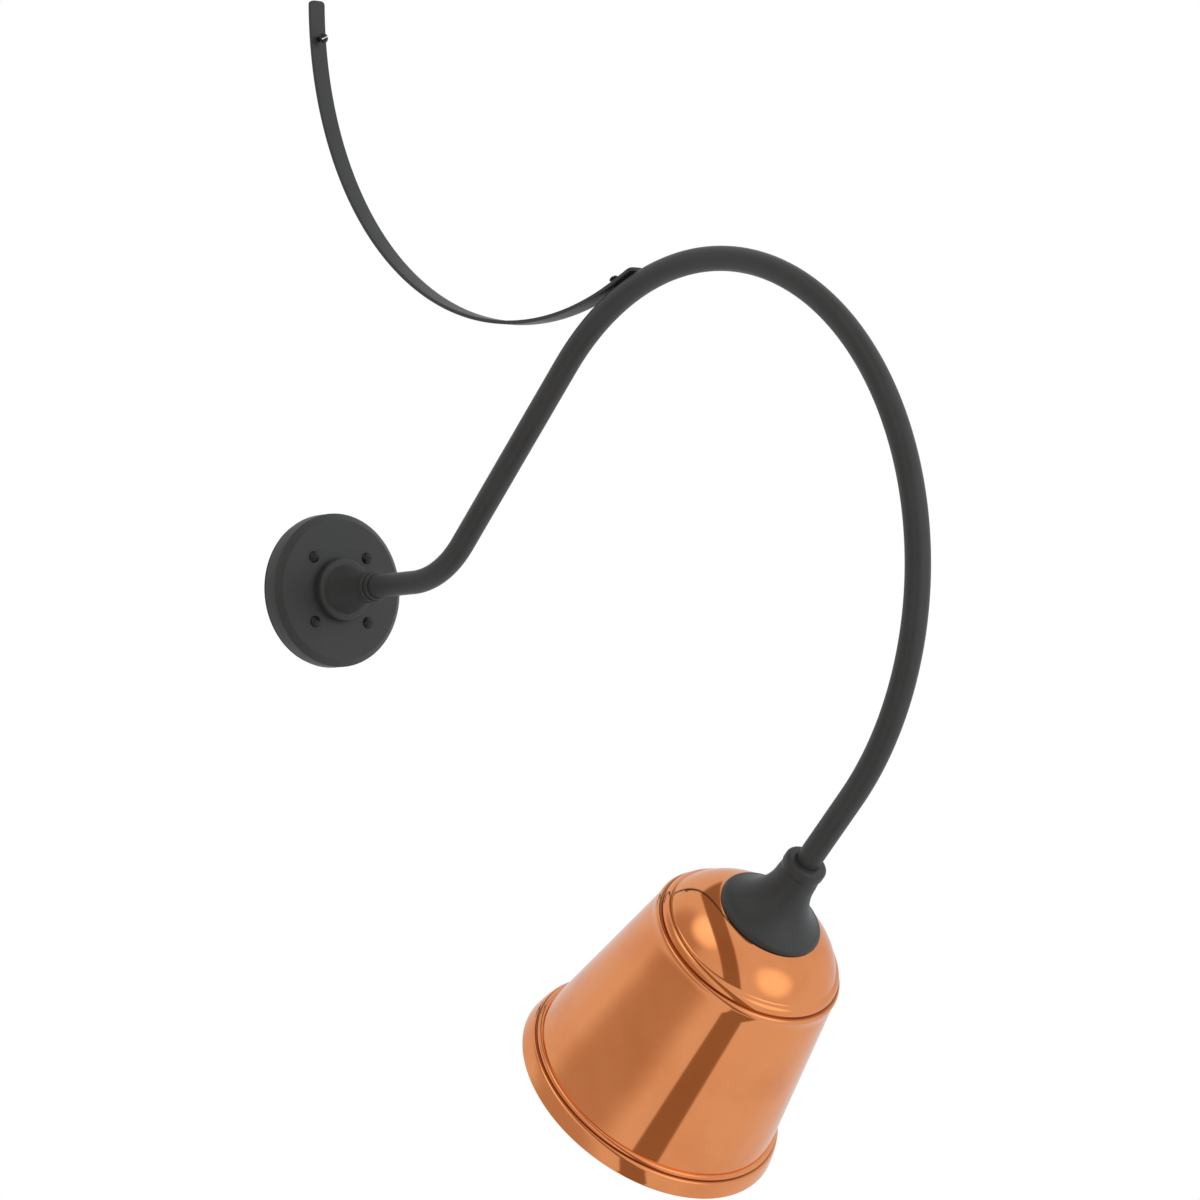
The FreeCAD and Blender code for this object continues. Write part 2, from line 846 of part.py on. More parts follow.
arm_screw = round_screw(
    "strap_arm_screw",
    size("screw_head"),
    size("screw_head_rise"),
    size("arm_screw_shank"),
    size("arm_screw_length"),
    as_size(0.0),
)
tilted(arm_screw, half_thick + size("strap_clear") + size("arm_screw_stand"))
insert_top = derived("insert_top", half_thick * -1 - 0.62)
insert = turned(
    "strap_insert",
    [
        (size("arm_screw_shank") + size("fit_play"), 0 - size("insert_length")),
        (size("insert_radius"), 0 - size("insert_length")),
        (size("insert_radius"), 0.0),
        (size("arm_screw_shank") + size("fit_play"), 0.0),
    ],
)
tilted(insert, insert_top)
insert_tool = peg(
    "insert_hole",
    size("insert_radius") + size("fit_play"),
    as_size(9.0),
    along_screw(as_size(-8.0)),
    (0, way.y, way.z),
)
arm_cut = drilled("arm_tube", arm, insert_tool)


def at_lamp(thing, across=0.0):
    """Stands a piece on the lamp's axis, with levels counted from the end of the crook."""
    return put(thing, (across, 0 - drop_out, drop_up), 270.0 - drop, (-1, 0, 0))


# Bell-shaped fitter: collar, neck, flared bell and rolled rim
tube_stop = derived("tube_stop", tube_end + 1.0)
nipple_top = derived("nipple_top", tube_stop + size("nipple_seat"))
core_level = derived("core_level", nipple_top + size("core_height"))
collar_level = derived("collar_level", tube_end - size("tube_socket"))
collar_end = derived("collar_end", collar_level + size("collar_height"))
neck_level = derived("neck_level", collar_end + size("neck_drop"))
bell_level = derived("bell_level", neck_level + size("bell_drop"))
bell_reach = size("bell_radius") + size("bell_curve")
flare_radius = derived("flare_radius", size("rim_radius") - 3.5)
flare_away = bell_reach - flare_radius
flare_level = derived(
    "flare_level",
    bell_level + root(size("bell_curve") * size("bell_curve") - flare_away * flare_away),
)
lip_level = derived("lip_level", flare_level + size("rim_height"))

# Dome of the shade, which the fitter's underside and its gasket follow
lip_away = size("rim_radius") - size("crown_radius")
underside = size("dome_curve") + size("rim_gasket")
dome_centre = derived(
    "dome_centre", lip_level + root(underside * underside - lip_away * lip_away)
)
crown_level = derived("crown_level", dome_centre - size("dome_curve"))


def dome_level(radius, outside=0.0):
    """The level of the dome, or of a surface outside it, at a distance from the axis."""
    reach = size("dome_curve") + outside
    away = radius - size("crown_radius")
    return dome_centre - root(reach * reach - away * away)


lip_inner = derived("lip_inner", size("rim_radius") - 5.4)
collar_edge = size("collar_radius") - size("collar_round")
thread_hole = size("nipple_radius") + size("fit_play")
fitter = turned(
    "fitter",
    [
        (bore, collar_level),
        (collar_edge, collar_level, size("collar_round")),
        (size("collar_radius"), collar_level + size("collar_round")),
        (size("collar_radius"), collar_end),
        (size("neck_radius"), neck_level),
        (size("bell_radius"), bell_level, 0 - size("bell_curve")),
        (flare_radius, flare_level, size("rim_round")),
        (size("rim_radius"), lip_level - 1.6),
        (size("rim_radius"), lip_level, 0 - underside),
        (lip_inner, dome_level(lip_inner, size("rim_gasket"))),
        (lip_inner - 5.6, lip_level - 8.0),
        (lip_inner - 15.6, lip_level - 17.4),
        (size("core_radius"), core_level),
        (thread_hole, core_level),
        (thread_hole, nipple_top - 1.0),
        (size("wire_way"), nipple_top - 1.0),
        (size("wire_way"), tube_stop),
        (bore, tube_stop),
    ],
)
fitter_screw_level = derived("fitter_screw_level", neck_level + 3.5)
cross_hole(fitter, "fitter", fitter_screw_level)
at_lamp(fitter)
fitter_screw = set_screw("fitter_set_screw")
screw_drop_out = 0 - drop_out - fitter_screw_level * cosine(drop)
screw_drop_up = drop_up - fitter_screw_level * sine(drop)
put(fitter_screw, (bore, screw_drop_out, screw_drop_up), 90.0, (0, 1, 0))

gasket_inner = lip_inner + 0.4
gasket_outer = size("rim_radius") - 0.4
shade_gasket = turned(
    "shade_gasket",
    [
        (gasket_inner, dome_level(gasket_inner, size("rim_gasket")), underside),
        (gasket_outer, dome_level(gasket_outer, size("rim_gasket"))),
        (gasket_outer, dome_level(gasket_outer), 0 - size("dome_curve")),
        (gasket_inner, dome_level(gasket_inner)),
    ],
)
at_lamp(shade_gasket)

# Spun copper shade: flat crown, dome, two beads, cone, foot bead and skirt with a folded hem
copper = size("copper")
inner_dome = size("dome_curve") - copper
inner_end = size("dome_radius") - 1.0
inner_away = inner_end - size("crown_radius")
inner_dome_level = dome_centre - root(inner_dome * inner_dome - inner_away * inner_away)
shade_path = [(size("dome_radius"), derived("dome_end", dome_level(size("dome_radius"))))]
for part in ("upper_bead", "lower_bead", "cone", "foot_bead", "skirt_root", "skirt"):
    wide, high = {
        "upper_bead": (size("upper_bead_step"), size("upper_bead_height")),
        "lower_bead": (size("lower_bead_step"), size("lower_bead_height")),
        "cone": (size("cone_flare"), size("cone_height")),
        "foot_bead": (size("foot_bead_step"), size("foot_bead_height")),
        "skirt_root": (size("skirt_step"), size("skirt_drop")),
        "skirt": (size("skirt_flare"), size("skirt_height")),
    }[part]
    last = shade_path[-1]
    shade_path.append(
        (derived("%s_radius" % part, last[0] + wide), derived("%s_level" % part, last[1] + high))
    )
dome_end, groove, cone_start, cone_end, foot_groove, skirt_top, mouth = shade_path


def bulge(start, stop, share):
    """The radius of an arc between two places, as a share of the distance between them."""
    wide = stop[0] - start[0]
    high = stop[1] - start[1]
    return root(wide * wide + high * high) * share


shade = turned(
    "shade",
    [
        (size("crown_hole"), crown_level),
        (size("crown_radius"), crown_level, size("dome_curve")),
        (dome_end[0], dome_end[1], bulge(dome_end, groove, 0.69)),
        (groove[0], groove[1], bulge(groove, cone_start, 0.545)),
        cone_start,
        (cone_end[0], cone_end[1], bulge(cone_end, foot_groove, 0.537)),
        (foot_groove[0], foot_groove[1], bulge(foot_groove, skirt_top, 0.76)),
        (skirt_top[0], skirt_top[1], bulge(skirt_top, mouth, 5.3)),
        mouth,
        (mouth[0] - size("hem"), mouth[1]),
        (mouth[0] - size("hem"), mouth[1] - size("hem")),
        (mouth[0] - copper * 1.35, mouth[1] - size("hem")),
        (skirt_top[0] - copper * 1.25, skirt_top[1] + copper * 0.9),
        (foot_groove[0] - copper, foot_groove[1] + copper * 0.6),
        (cone_end[0] - copper * 1.02, cone_end[1] + 0.2),
        (cone_start[0] - copper * 1.05, cone_start[1] + 0.5),
        (groove[0] - copper * 1.1, groove[1] + copper * 0.6),
        (inner_end, inner_dome_level, 0 - inner_dome),
        (size("crown_radius"), crown_level + copper),
        (size("crown_hole"), crown_level + copper),
    ],
)
at_lamp(shade)

# Threaded tube, washer and nut that hold the shade up against the fitter
nipple = new_body("lamp_nipple")
nipple_sketch = new_sketch(nipple, "XY_Plane", "lamp_nipple_outline", nipple_top)
circles(nipple_sketch, [size("nipple_radius"), size("nipple_bore")])
washer_level = derived("washer_level", crown_level + copper)
nut_level = derived("nut_level", washer_level + size("washer_thick"))
roof = derived("holder_top", nut_level + size("shade_nut_thick") + size("holder_gap"))
chamber = derived("chamber_level", roof + size("holder_roof"))
nipple_length = chamber + size("nipple_reach") - nipple_top
pad(nipple, nipple_sketch, "lamp_nipple_length", nipple_length)
at_lamp(nipple)
washer = new_body("shade_washer")
washer_sketch = new_sketch(washer, "XY_Plane", "shade_washer_outline", washer_level)
circles(washer_sketch, [size("washer_radius"), thread_hole])
pad(washer, washer_sketch, "shade_washer_thickness", size("washer_thick"))
at_lamp(washer)
shade_nut = hex_nut(
    "shade_nut", size("shade_nut_radius"), thread_hole, size("shade_nut_thick"), nut_level
)
at_lamp(shade_nut)

# Porcelain lamp holder with a wiring chamber above its floor and a bore for the screw shell
floor_top = derived("floor_level", chamber + size("chamber_depth"))
floor_end = derived("floor_end", floor_top + size("holder_floor"))
holder_end = derived("holder_end", roof + size("holder_length"))
shell_outer = size("shell_bore") + size("shell_wall")
holder_bore = shell_outer + size("fit_play")
holder = turned(
    "lamp_holder",
    [
        (thread_hole, roof),
        (size("holder_shoulder") - 3.0, roof),
        (size("holder_shoulder"), roof + 3.0),
        (size("holder_shoulder"), floor_end - 2.0),
        (size("holder_radius"), floor_end + 4.0),
        (size("holder_radius"), holder_end - 1.5),
        (size("holder_radius") - 1.5, holder_end),
        (holder_bore, holder_end),
        (holder_bore, floor_end),
        (0.0, floor_end),
        (0.0, floor_top),
        (size("chamber_radius"), floor_top),
        (size("chamber_radius"), chamber),
        (thread_hole, chamber),
    ],
)
terminal_out = derived("terminal_out", size("chamber_radius") - size("terminal_head") - 0.2)
terminal_hole_sketch = new_sketch(holder, "XY_Plane", "terminal_holes_outline", floor_top)
for side in (-1, 1):
    circles(terminal_hole_sketch, [size("terminal_radius") + 0.02], (terminal_out * side, 0.0))
document.recompute()
pocket(holder, terminal_hole_sketch, "terminal_holes", size("holder_floor") - 1.0)
at_lamp(holder)

shell_level = derived("shell_level", floor_end + 0.6)
shell = new_body("lamp_holder_shell")
shell_sketch = new_sketch(shell, "XY_Plane", "lamp_holder_shell_outline", shell_level)
circles(shell_sketch, [shell_outer, size("shell_bore")])
pad(shell, shell_sketch, "lamp_holder_shell_length", size("shell_length"))
at_lamp(shell)

leaf = size("contact_thick")
leaf_rise = size("contact_rise") - leaf - size("strap_clear")
contact = new_body("centre_contact")
contact_sketch = new_sketch(contact, "XZ_Plane", "centre_contact_outline")
outline(
    contact_sketch,
    [
        (-7.0, floor_end),
        (-1.0, floor_end),
        (3.0, floor_end + leaf_rise),
        (6.0, floor_end + leaf_rise),
        (6.0, floor_end + leaf_rise + leaf),
        (2.8, floor_end + leaf_rise + leaf),
        (-1.2, floor_end + leaf),
        (-7.0, floor_end + leaf),
    ],
)
pad(contact, contact_sketch, "centre_contact_width", size("contact_width"), both_ways=True)
at_lamp(contact)

wire_level = derived("wire_level", floor_top - size("wire_radius"))
terminal_head_level = derived("terminal_head_level", floor_top - size("wire_radius") * 2 - 0.05)
terminals = turned(
    "terminal_screws",
    [
        (0.0, terminal_head_level - 2.2),
        (size("terminal_head"), terminal_head_level - 2.2),
        (size("terminal_head"), terminal_head_level),
        (size("terminal_radius"), terminal_head_level),
        (size("terminal_radius"), floor_end - 1.4),
        (0.0, floor_end - 1.4),
    ],
)
terminal_turned = terminals.Tip
terminal_slot_sketch = new_sketch(
    terminals, "XY_Plane", "terminal_slot_outline", terminal_head_level - 3.2
)
slot_half = size("screw_slot") / 2
slot_reach = size("terminal_head") * 1.3
outline(
    terminal_slot_sketch,
    [
        (0 - slot_half, 0 - slot_reach),
        (slot_half, 0 - slot_reach),
        (slot_half, slot_reach),
        (0 - slot_half, slot_reach),
    ],
)
terminal_slot = pocket(terminals, terminal_slot_sketch, "terminal_slot", as_size(2.0))
pair = terminals.newObject("PartDesign::LinearPattern", "terminal_pair")
pair.Originals = [terminal_turned, terminal_slot]
pair.Direction = (origin_feature(terminals, "X_Axis"), [""])
pair.Length = (terminal_out * 2).value
pair.Occurrences = 2
bind(pair, "Length", terminal_out * 2)
terminals.Tip = pair
at_lamp(terminals, 0 - terminal_out)

# Lamp: contact tip, insulator, screw base, blown glass, stem and filaments
lamp_tip = derived("lamp_tip", floor_end + size("contact_rise"))
tip_end = derived("tip_end", lamp_tip + size("tip_height"))
base_start = derived("base_start", tip_end + size("insulator_height"))
base_inner = size("base_radius") - size("base_wall")
plug = base_inner - size("fit_play")
tip = turned(
    "bulb_tip",
    [
        (0.0, lamp_tip),
        (size("tip_radius") - 1.0, lamp_tip, as_size(1.0)),
        (size("tip_radius"), lamp_tip + 1.0),
        (size("tip_radius"), tip_end),
        (0.0, tip_end),
    ],
)
at_lamp(tip)
insulator = turned(
    "bulb_insulator",
    [
        (0.0, tip_end),
        (size("tip_radius") + 1.0, tip_end),
        (size("base_radius"), base_start),
        (plug, base_start),
        (plug, base_start + 2.0),
        (0.0, base_start + 2.0),
    ],
)
at_lamp(insulator)
base_end = derived("base_end", base_start + size("base_length"))
base = new_body("bulb_base")
base_sketch = new_sketch(base, "XY_Plane", "bulb_base_outline", base_start)
circles(base_sketch, [size("base_radius"), base_inner])
pad(base, base_sketch, "bulb_base_length", size("base_length"))
at_lamp(base)

lamp_end = derived("lamp_end", lamp_tip + size("lamp_length"))
ball_level = derived("ball_level", lamp_end - size("glass_radius"))
neck_end = derived("neck_end", base_end + size("neck_rise"))
shoulder = derived("glass_shoulder", ball_level - neck_end)
ball = size("glass_radius")
neck = plug
rise_square = shoulder * shoulder
waist = derived("waist_curve", (neck * neck + rise_square - ball * ball) / ((ball - neck) * 2))
share = ball / (waist + ball)
join_radius = derived("join_radius", share * (neck + waist))
join_level = derived("join_level", ball_level - share * shoulder)
glass_wall = size("glass_wall")
inner_share = (ball - glass_wall) / (waist + ball)
inner_join_radius = inner_share * (neck + waist)
inner_join_level = ball_level - inner_share * shoulder
glass_foot = derived("glass_foot", base_start + 10.0)
glass = turned(
    "bulb_glass",
    [
        (neck - glass_wall, glass_foot),
        (neck, glass_foot),
        (neck, neck_end, 0 - waist),
        (join_radius, join_level, ball),
        (0.0, lamp_end),
        (0.0, lamp_end - glass_wall, glass_wall - ball),
        (inner_join_radius, inner_join_level, waist + glass_wall),
        (neck - glass_wall, neck_end),
    ],
)
at_lamp(glass)

stem_foot = derived("stem_foot", glass_foot + 1.0)
stem_end = derived("stem_end", stem_foot + size("stem_length"))
stem_wide = neck - glass_wall - size("fit_play")
filament_end = derived("filament_end", stem_end + 1.5 + size("filament_length"))
stem = turned(
    "bulb_stem",
    [
        (0.0, stem_foot),
        (stem_wide, stem_foot),
        (stem_wide, stem_foot + 1.5),
        (size("stem_radius"), stem_foot + 4.0),
        (size("stem_radius"), stem_end),
        (size("stem_disc"), stem_end),
        (size("stem_disc"), stem_end + 1.5),
        (0.8, stem_end + 1.5),
        (0.8, filament_end),
        (size("stem_disc") - 1.0, filament_end),
        (size("stem_disc") - 1.0, filament_end + 1.0),
        (0.0, filament_end + 1.0),
    ],
)
at_lamp(stem)
filaments = new_body("bulb_filaments")
filament_sketch = new_sketch(filaments, "XY_Plane", "bulb_filaments_outline", stem_end + 1.5)
circles(filament_sketch, [size("filament_radius")], (size("filament_ring"), 0.0))
filament = pad(filaments, filament_sketch, "bulb_filament", size("filament_length"))
around = filaments.newObject("PartDesign::PolarPattern", "filaments_around")
around.Originals = [filament]
around.Axis = (origin_feature(filaments, "Z_Axis"), [""])
around.Angle = 360
around.Occurrences = int(size("filament_count").value)
bind(around, "Occurrences", size("filament_count"))
filaments.Tip = around
at_lamp(filaments)

# Wires: each runs up from its connector, into the arm and along its whole middle line, through the
# threaded tube and out sideways under a terminal screw
OUT = Vector(0, -1, 0)
UP = Vector(0, 0, 1)
DOWN = Vector(0, 0, -1)


class Route:
    """A wire's middle line, built from straight runs and arcs that meet without a corner."""

    def __init__(self, start, heading):
        self.point = start
        self.heading = heading
        self.edges = []
        self.length = 0.0

    def run(self, distance):
        ahead = self.point + self.heading * distance
        self.edges.append(Part.makeLine(self.point, ahead))
        self.point = ahead
        self.length += distance
        return self

    def bend(self, radius, degrees, toward):
        """Turns by degrees towards a direction square to the heading."""
        angle = math.radians(degrees)
        centre = self.point + toward * radius

        def spot(turned_by):
            ahead = self.heading * math.sin(turned_by)
            return centre + (ahead - toward * math.cos(turned_by)) * radius

        stop = spot(angle)
        self.edges.append(Part.Arc(self.point, spot(angle / 2), stop).toShape())
        self.heading = self.heading * math.cos(angle) + toward * math.sin(angle)
        self.point = stop
        self.length += radius * angle
        return self

    def solid(self, radius):
        wire = Part.Wire(self.edges)
        start = wire.Edges[0]
        heading = start.tangentAt(start.FirstParameter)
        disc = Part.Wire(Part.makeCircle(radius, start.valueAt(start.FirstParameter), heading))
        swept = wire.makePipeShell([disc], True, False)
        wanted = math.pi * radius ** 2 * self.length
        if abs(swept.Volume - wanted) > wanted * 0.01:
            raise RuntimeError("a wire's volume does not match its length")
        return swept


def square_to(heading, towards):
    """The part of a direction that is square to a heading, made one long."""
    return (towards - heading * towards.dot(heading)).normalize()


def feature(label, shape):
    thing = document.addObject("Part::Feature", label)
    thing.Label = label
    thing.Shape = shape
    return thing


side_step = size("wire_pitch").value / 2
connector_side = size("connector_spacing").value / 2
wall_turn = size("wire_turn").value
exit_level = arm_start.value - 1.7
housing_level = derived("housing_level", arm_start - 1.7 - size("wire_turn"))
jog_radius = 8.0
jog_angle = math.degrees(math.acos(1 - (connector_side - side_step) / (2 * jog_radius)))
jog_height = 2 * jog_radius * math.sin(math.radians(jog_angle))
grip = 12.0


def lamp_wire(label, side):
    bottom = 0 - size("connector_drop").value - grip
    across = Vector(side, 0, 0)
    route = Route(Vector(side * connector_side, 0 - housing_level.value, bottom), UP)
    route.run(grip + size("connector_drop").value - wall_turn - 1.0 - jog_height)
    route.bend(jog_radius, jog_angle, across * -1)
    route.bend(jog_radius, jog_angle, square_to(route.heading, across))
    route.run(1.0)
    route.bend(wall_turn, 90, OUT)
    route.run(size("arm_reach").value - exit_level)
    route.bend(size("rise_radius").value, rise.value, UP)
    route.run(size("rise_run").value)
    down = square_to(route.heading, DOWN)
    route.bend(size("crook_radius").value, rise.value + drop.value, down)
    route.run(wire_level.value - 3.5)
    route.bend(3.5, 90, across)
    route.run(terminal_out.value - size("terminal_radius").value - side_step - 3.5)
    return feature(label, route.solid(size("wire_radius").value))


lamp_wire("line_wire", -1)
lamp_wire("neutral_wire", 1)

loop = size("terminal_radius").value + size("wire_radius").value + 0.1
ground_level = ground_floor.value - size("wire_radius").value
ground_route = Route(
    Vector(ground_spot[0].value - loop, 0 - ground_level, 0), Vector(0, 0, 1)
)
ground_route.bend(loop, 180, Vector(1, 0, 0))
ground_route.bend(loop, 90, Vector(-1, 0, 0))
ground_route.bend(4.0, 90, Vector(0, 0, -1))
ground_route.run(18.0)
feature("ground_wire", ground_route.solid(size("wire_radius").value))

# Twist-on connectors on the two wires, mouths up
connectors = turned(
    "wire_connectors",
    [
        (size("wire_radius") + size("fit_play"), 0.0),
        (size("connector_radius"), 0.0),
        (size("connector_radius"), size("connector_length") * 0.45),
        (size("connector_tip"), size("connector_length") - 1.0),
        (size("connector_tip") - 1.0, size("connector_length")),
        (0.0, size("connector_length")),
        (0.0, grip + 0.5),
        (size("wire_radius") + size("fit_play"), grip + 0.5),
    ],
)
twist = connectors.Tip
pair_row = connectors.newObject("PartDesign::LinearPattern", "connector_pair")
pair_row.Originals = [twist]
pair_row.Direction = (origin_feature(connectors, "X_Axis"), [""])
pair_row.Length = size("connector_spacing").value
pair_row.Occurrences = 2
bind(pair_row, "Length", size("connector_spacing"))
connectors.Tip = pair_row
connector_place = (
    0 - size("connector_spacing") / 2,
    0 - housing_level,
    0 - size("connector_drop"),
)
put(connectors, connector_place, 180.0, (1, 0, 0))

document.recompute()
for word in words:
    if word not in DIMENSIONS and not isinstance(sheet.get(word), (int, float)):
        raise RuntimeError("%s has no value in the sheet" % word)

NODES = [
    "wall_gasket", "wall_plate", "plate_screws", "hub", "hub_lock_nut", "hub_set_screw",
    "ground_screw", "ground_wire", "arm_tube", "wall_end_bushing", "strap_insert",
    "strap_arm_screw", "fitter", "fitter_set_screw", "shade_gasket", "shade", "lamp_nipple",
    "shade_washer", "shade_nut", "lamp_holder", "lamp_holder_shell", "centre_contact",
    "terminal_screws", "line_wire", "neutral_wire", "wire_connectors", "strap",
    "strap_wall_screw", "bulb_tip", "bulb_insulator", "bulb_base", "bulb_glass", "bulb_stem",
    "bulb_filaments",
]
for thing in document.Objects:
    if "Invalid" in thing.State or "Error" in thing.State:
        raise RuntimeError("%s did not build" % thing.Label)
os.makedirs("parts", exist_ok=True)
for label in NODES:
    node = document.getObjectsByLabel(label)[0]
    if node.Shape.isNull() or not node.Shape.isValid():
        raise RuntimeError("%s has no valid shape" % label)
    node.Shape.exportStep("parts/%s.step" % label)
    print("%-20s %2d solids %12.1f mm3" % (label, len(node.Shape.Solids), node.Shape.Volume))
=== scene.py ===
import logging
import math
from collections.abc import Callable, Sequence
from dataclasses import dataclass, field
from enum import Enum
from functools import cache

import bmesh
import bpy
import numpy as np
from mathutils import Matrix, Vector


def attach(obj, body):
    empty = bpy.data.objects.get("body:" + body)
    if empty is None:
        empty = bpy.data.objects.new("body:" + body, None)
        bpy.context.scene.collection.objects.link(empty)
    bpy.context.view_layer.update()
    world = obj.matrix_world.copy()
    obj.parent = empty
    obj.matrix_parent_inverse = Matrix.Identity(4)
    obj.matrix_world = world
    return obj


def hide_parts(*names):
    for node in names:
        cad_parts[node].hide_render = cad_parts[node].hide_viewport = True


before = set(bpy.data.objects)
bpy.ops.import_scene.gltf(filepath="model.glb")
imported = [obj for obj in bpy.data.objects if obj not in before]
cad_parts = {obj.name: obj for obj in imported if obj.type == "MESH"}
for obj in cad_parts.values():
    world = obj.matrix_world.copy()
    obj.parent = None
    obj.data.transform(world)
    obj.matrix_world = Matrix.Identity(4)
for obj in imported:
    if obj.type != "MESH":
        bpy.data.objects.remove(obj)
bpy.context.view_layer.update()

LOG = logging.getLogger("sconce")
MM = 0.001
SHARP = 32.0
Piece = bpy.types.Object
Socket = bpy.types.NodeSocket
Tree = bpy.types.NodeTree
Shape = Callable[[np.ndarray, np.ndarray, np.ndarray], np.ndarray]
Outline = tuple[tuple[float, ...], ...]
Pair = tuple[float, float]
Triple = tuple[float, float, float]


# ---------------------------------------------------------------- places and lines


def unit(way: Sequence[float]) -> np.ndarray:
    """A direction made one long."""
    return np.asarray(way, float) / np.linalg.norm(way)


@dataclass(frozen=True)
class Spot:
    """A place to stand a turned piece: where its axis starts and which way the axis points."""

    origin: Triple
    axis: Triple
    across: Triple = (1.0, 0.0, 0.0)

    def place(self, points: np.ndarray) -> np.ndarray:
        """Moves points from the piece's own millimetres into the room.

        Args:
            points: Array whose last axis holds (across, aside, along) in millimetres.

        Returns:
            The same points in metres.
        """
        along, across = unit(self.axis), unit(self.across)
        axes = np.stack([across, np.cross(along, across), along])
        return (points @ axes + np.asarray(self.origin, float)) * MM

    def shifted(self, across: float = 0.0, along: float = 0.0) -> "Spot":
        """A spot beside this one, by millimetres along its across direction and its axis."""
        moved = self.place(np.array([across, 0.0, along])) / MM
        return Spot(tuple(moved), self.axis, self.across)

    def turned(self, degrees: float) -> "Spot":
        """The same spot with its across direction turned about the axis."""
        matrix = Matrix.Rotation(math.radians(degrees), 3, Vector(self.axis))
        return Spot(self.origin, self.axis, tuple(matrix @ Vector(self.across)))


def arc(start: Sequence[float], stop: Sequence[float], radius: float, steps: int) -> np.ndarray:
    """Points on a circular arc between two places in a plane.

    The centre lies on the chord's middle line, at the distance that gives the radius, on the left
    of the way from start to stop for a positive radius and on the right for a negative one.

    Args:
        start: First place.
        stop: Last place.
        radius: Signed radius.
        steps: Number of pieces the arc is cut into.

    Returns:
        Array of steps + 1 places.
    """
    first, last = np.asarray(start, float), np.asarray(stop, float)
    chord = last - first
    left = unit((-chord[1], chord[0]))
    rise = math.sqrt(max(radius * radius - chord @ chord / 4, 0.0)) * math.copysign(1, radius)
    centre = (first + last) / 2 + left * rise
    begin = math.atan2(first[1] - centre[1], first[0] - centre[0])
    finish = math.atan2(last[1] - centre[1], last[0] - centre[0])
    sweep = (finish - begin) % math.tau
    if radius < 0:
        sweep -= math.tau
    angles = begin + np.linspace(0, sweep, steps + 1)
    ring = np.stack([np.cos(angles), np.sin(angles)], 1)
    return centre + ring * abs(radius)


def soft_line(corners: Sequence[Sequence[float]], closed: bool = True, steps: int = 6) -> np.ndarray:
    """A line through corners, each rounded by an arc that touches both of its sides.

    A corner (x, y, radius) starts and ends its arc at radius / tan(half the corner's angle) from
    the corner, but at most at just under half of its shorter side.

    Args:
        corners: Places (x, y) or (x, y, radius).
        closed: Whether the last corner joins the first.
        steps: Number of pieces in each rounding.

    Returns:
        Array of places along the line.
    """
    spots = [np.asarray(corner[:2], float) for corner in corners]
    radii = [corner[2] if len(corner) > 2 else 0.0 for corner in corners]
    count = len(spots)
    line: list[np.ndarray] = []
    for index, spot in enumerate(spots):
        ends = not closed and index in (0, count - 1)
        before, after = spots[index - 1] - spot, spots[(index + 1) % count] - spot
        if ends or radii[index] <= 0:
            line.append(spot[None])
            continue
        lengths = np.linalg.norm(before), np.linalg.norm(after)
        before, after = before / lengths[0], after / lengths[1]
        half = math.acos(np.clip(before @ after, -1, 1)) / 2
        if half > math.pi / 2 - 0.01:
            line.append(spot[None])
            continue
        reach = min(radii[index] / math.tan(half), 0.49 * min(lengths))
        radius = reach * math.tan(half)
        turn = before[0] * after[1] - before[1] * after[0]
        signed = -math.copysign(radius, turn)
        line.append(arc(spot + before * reach, spot + after * reach, signed, steps))
    return np.concatenate(line)


# ---------------------------------------------------------------- meshes


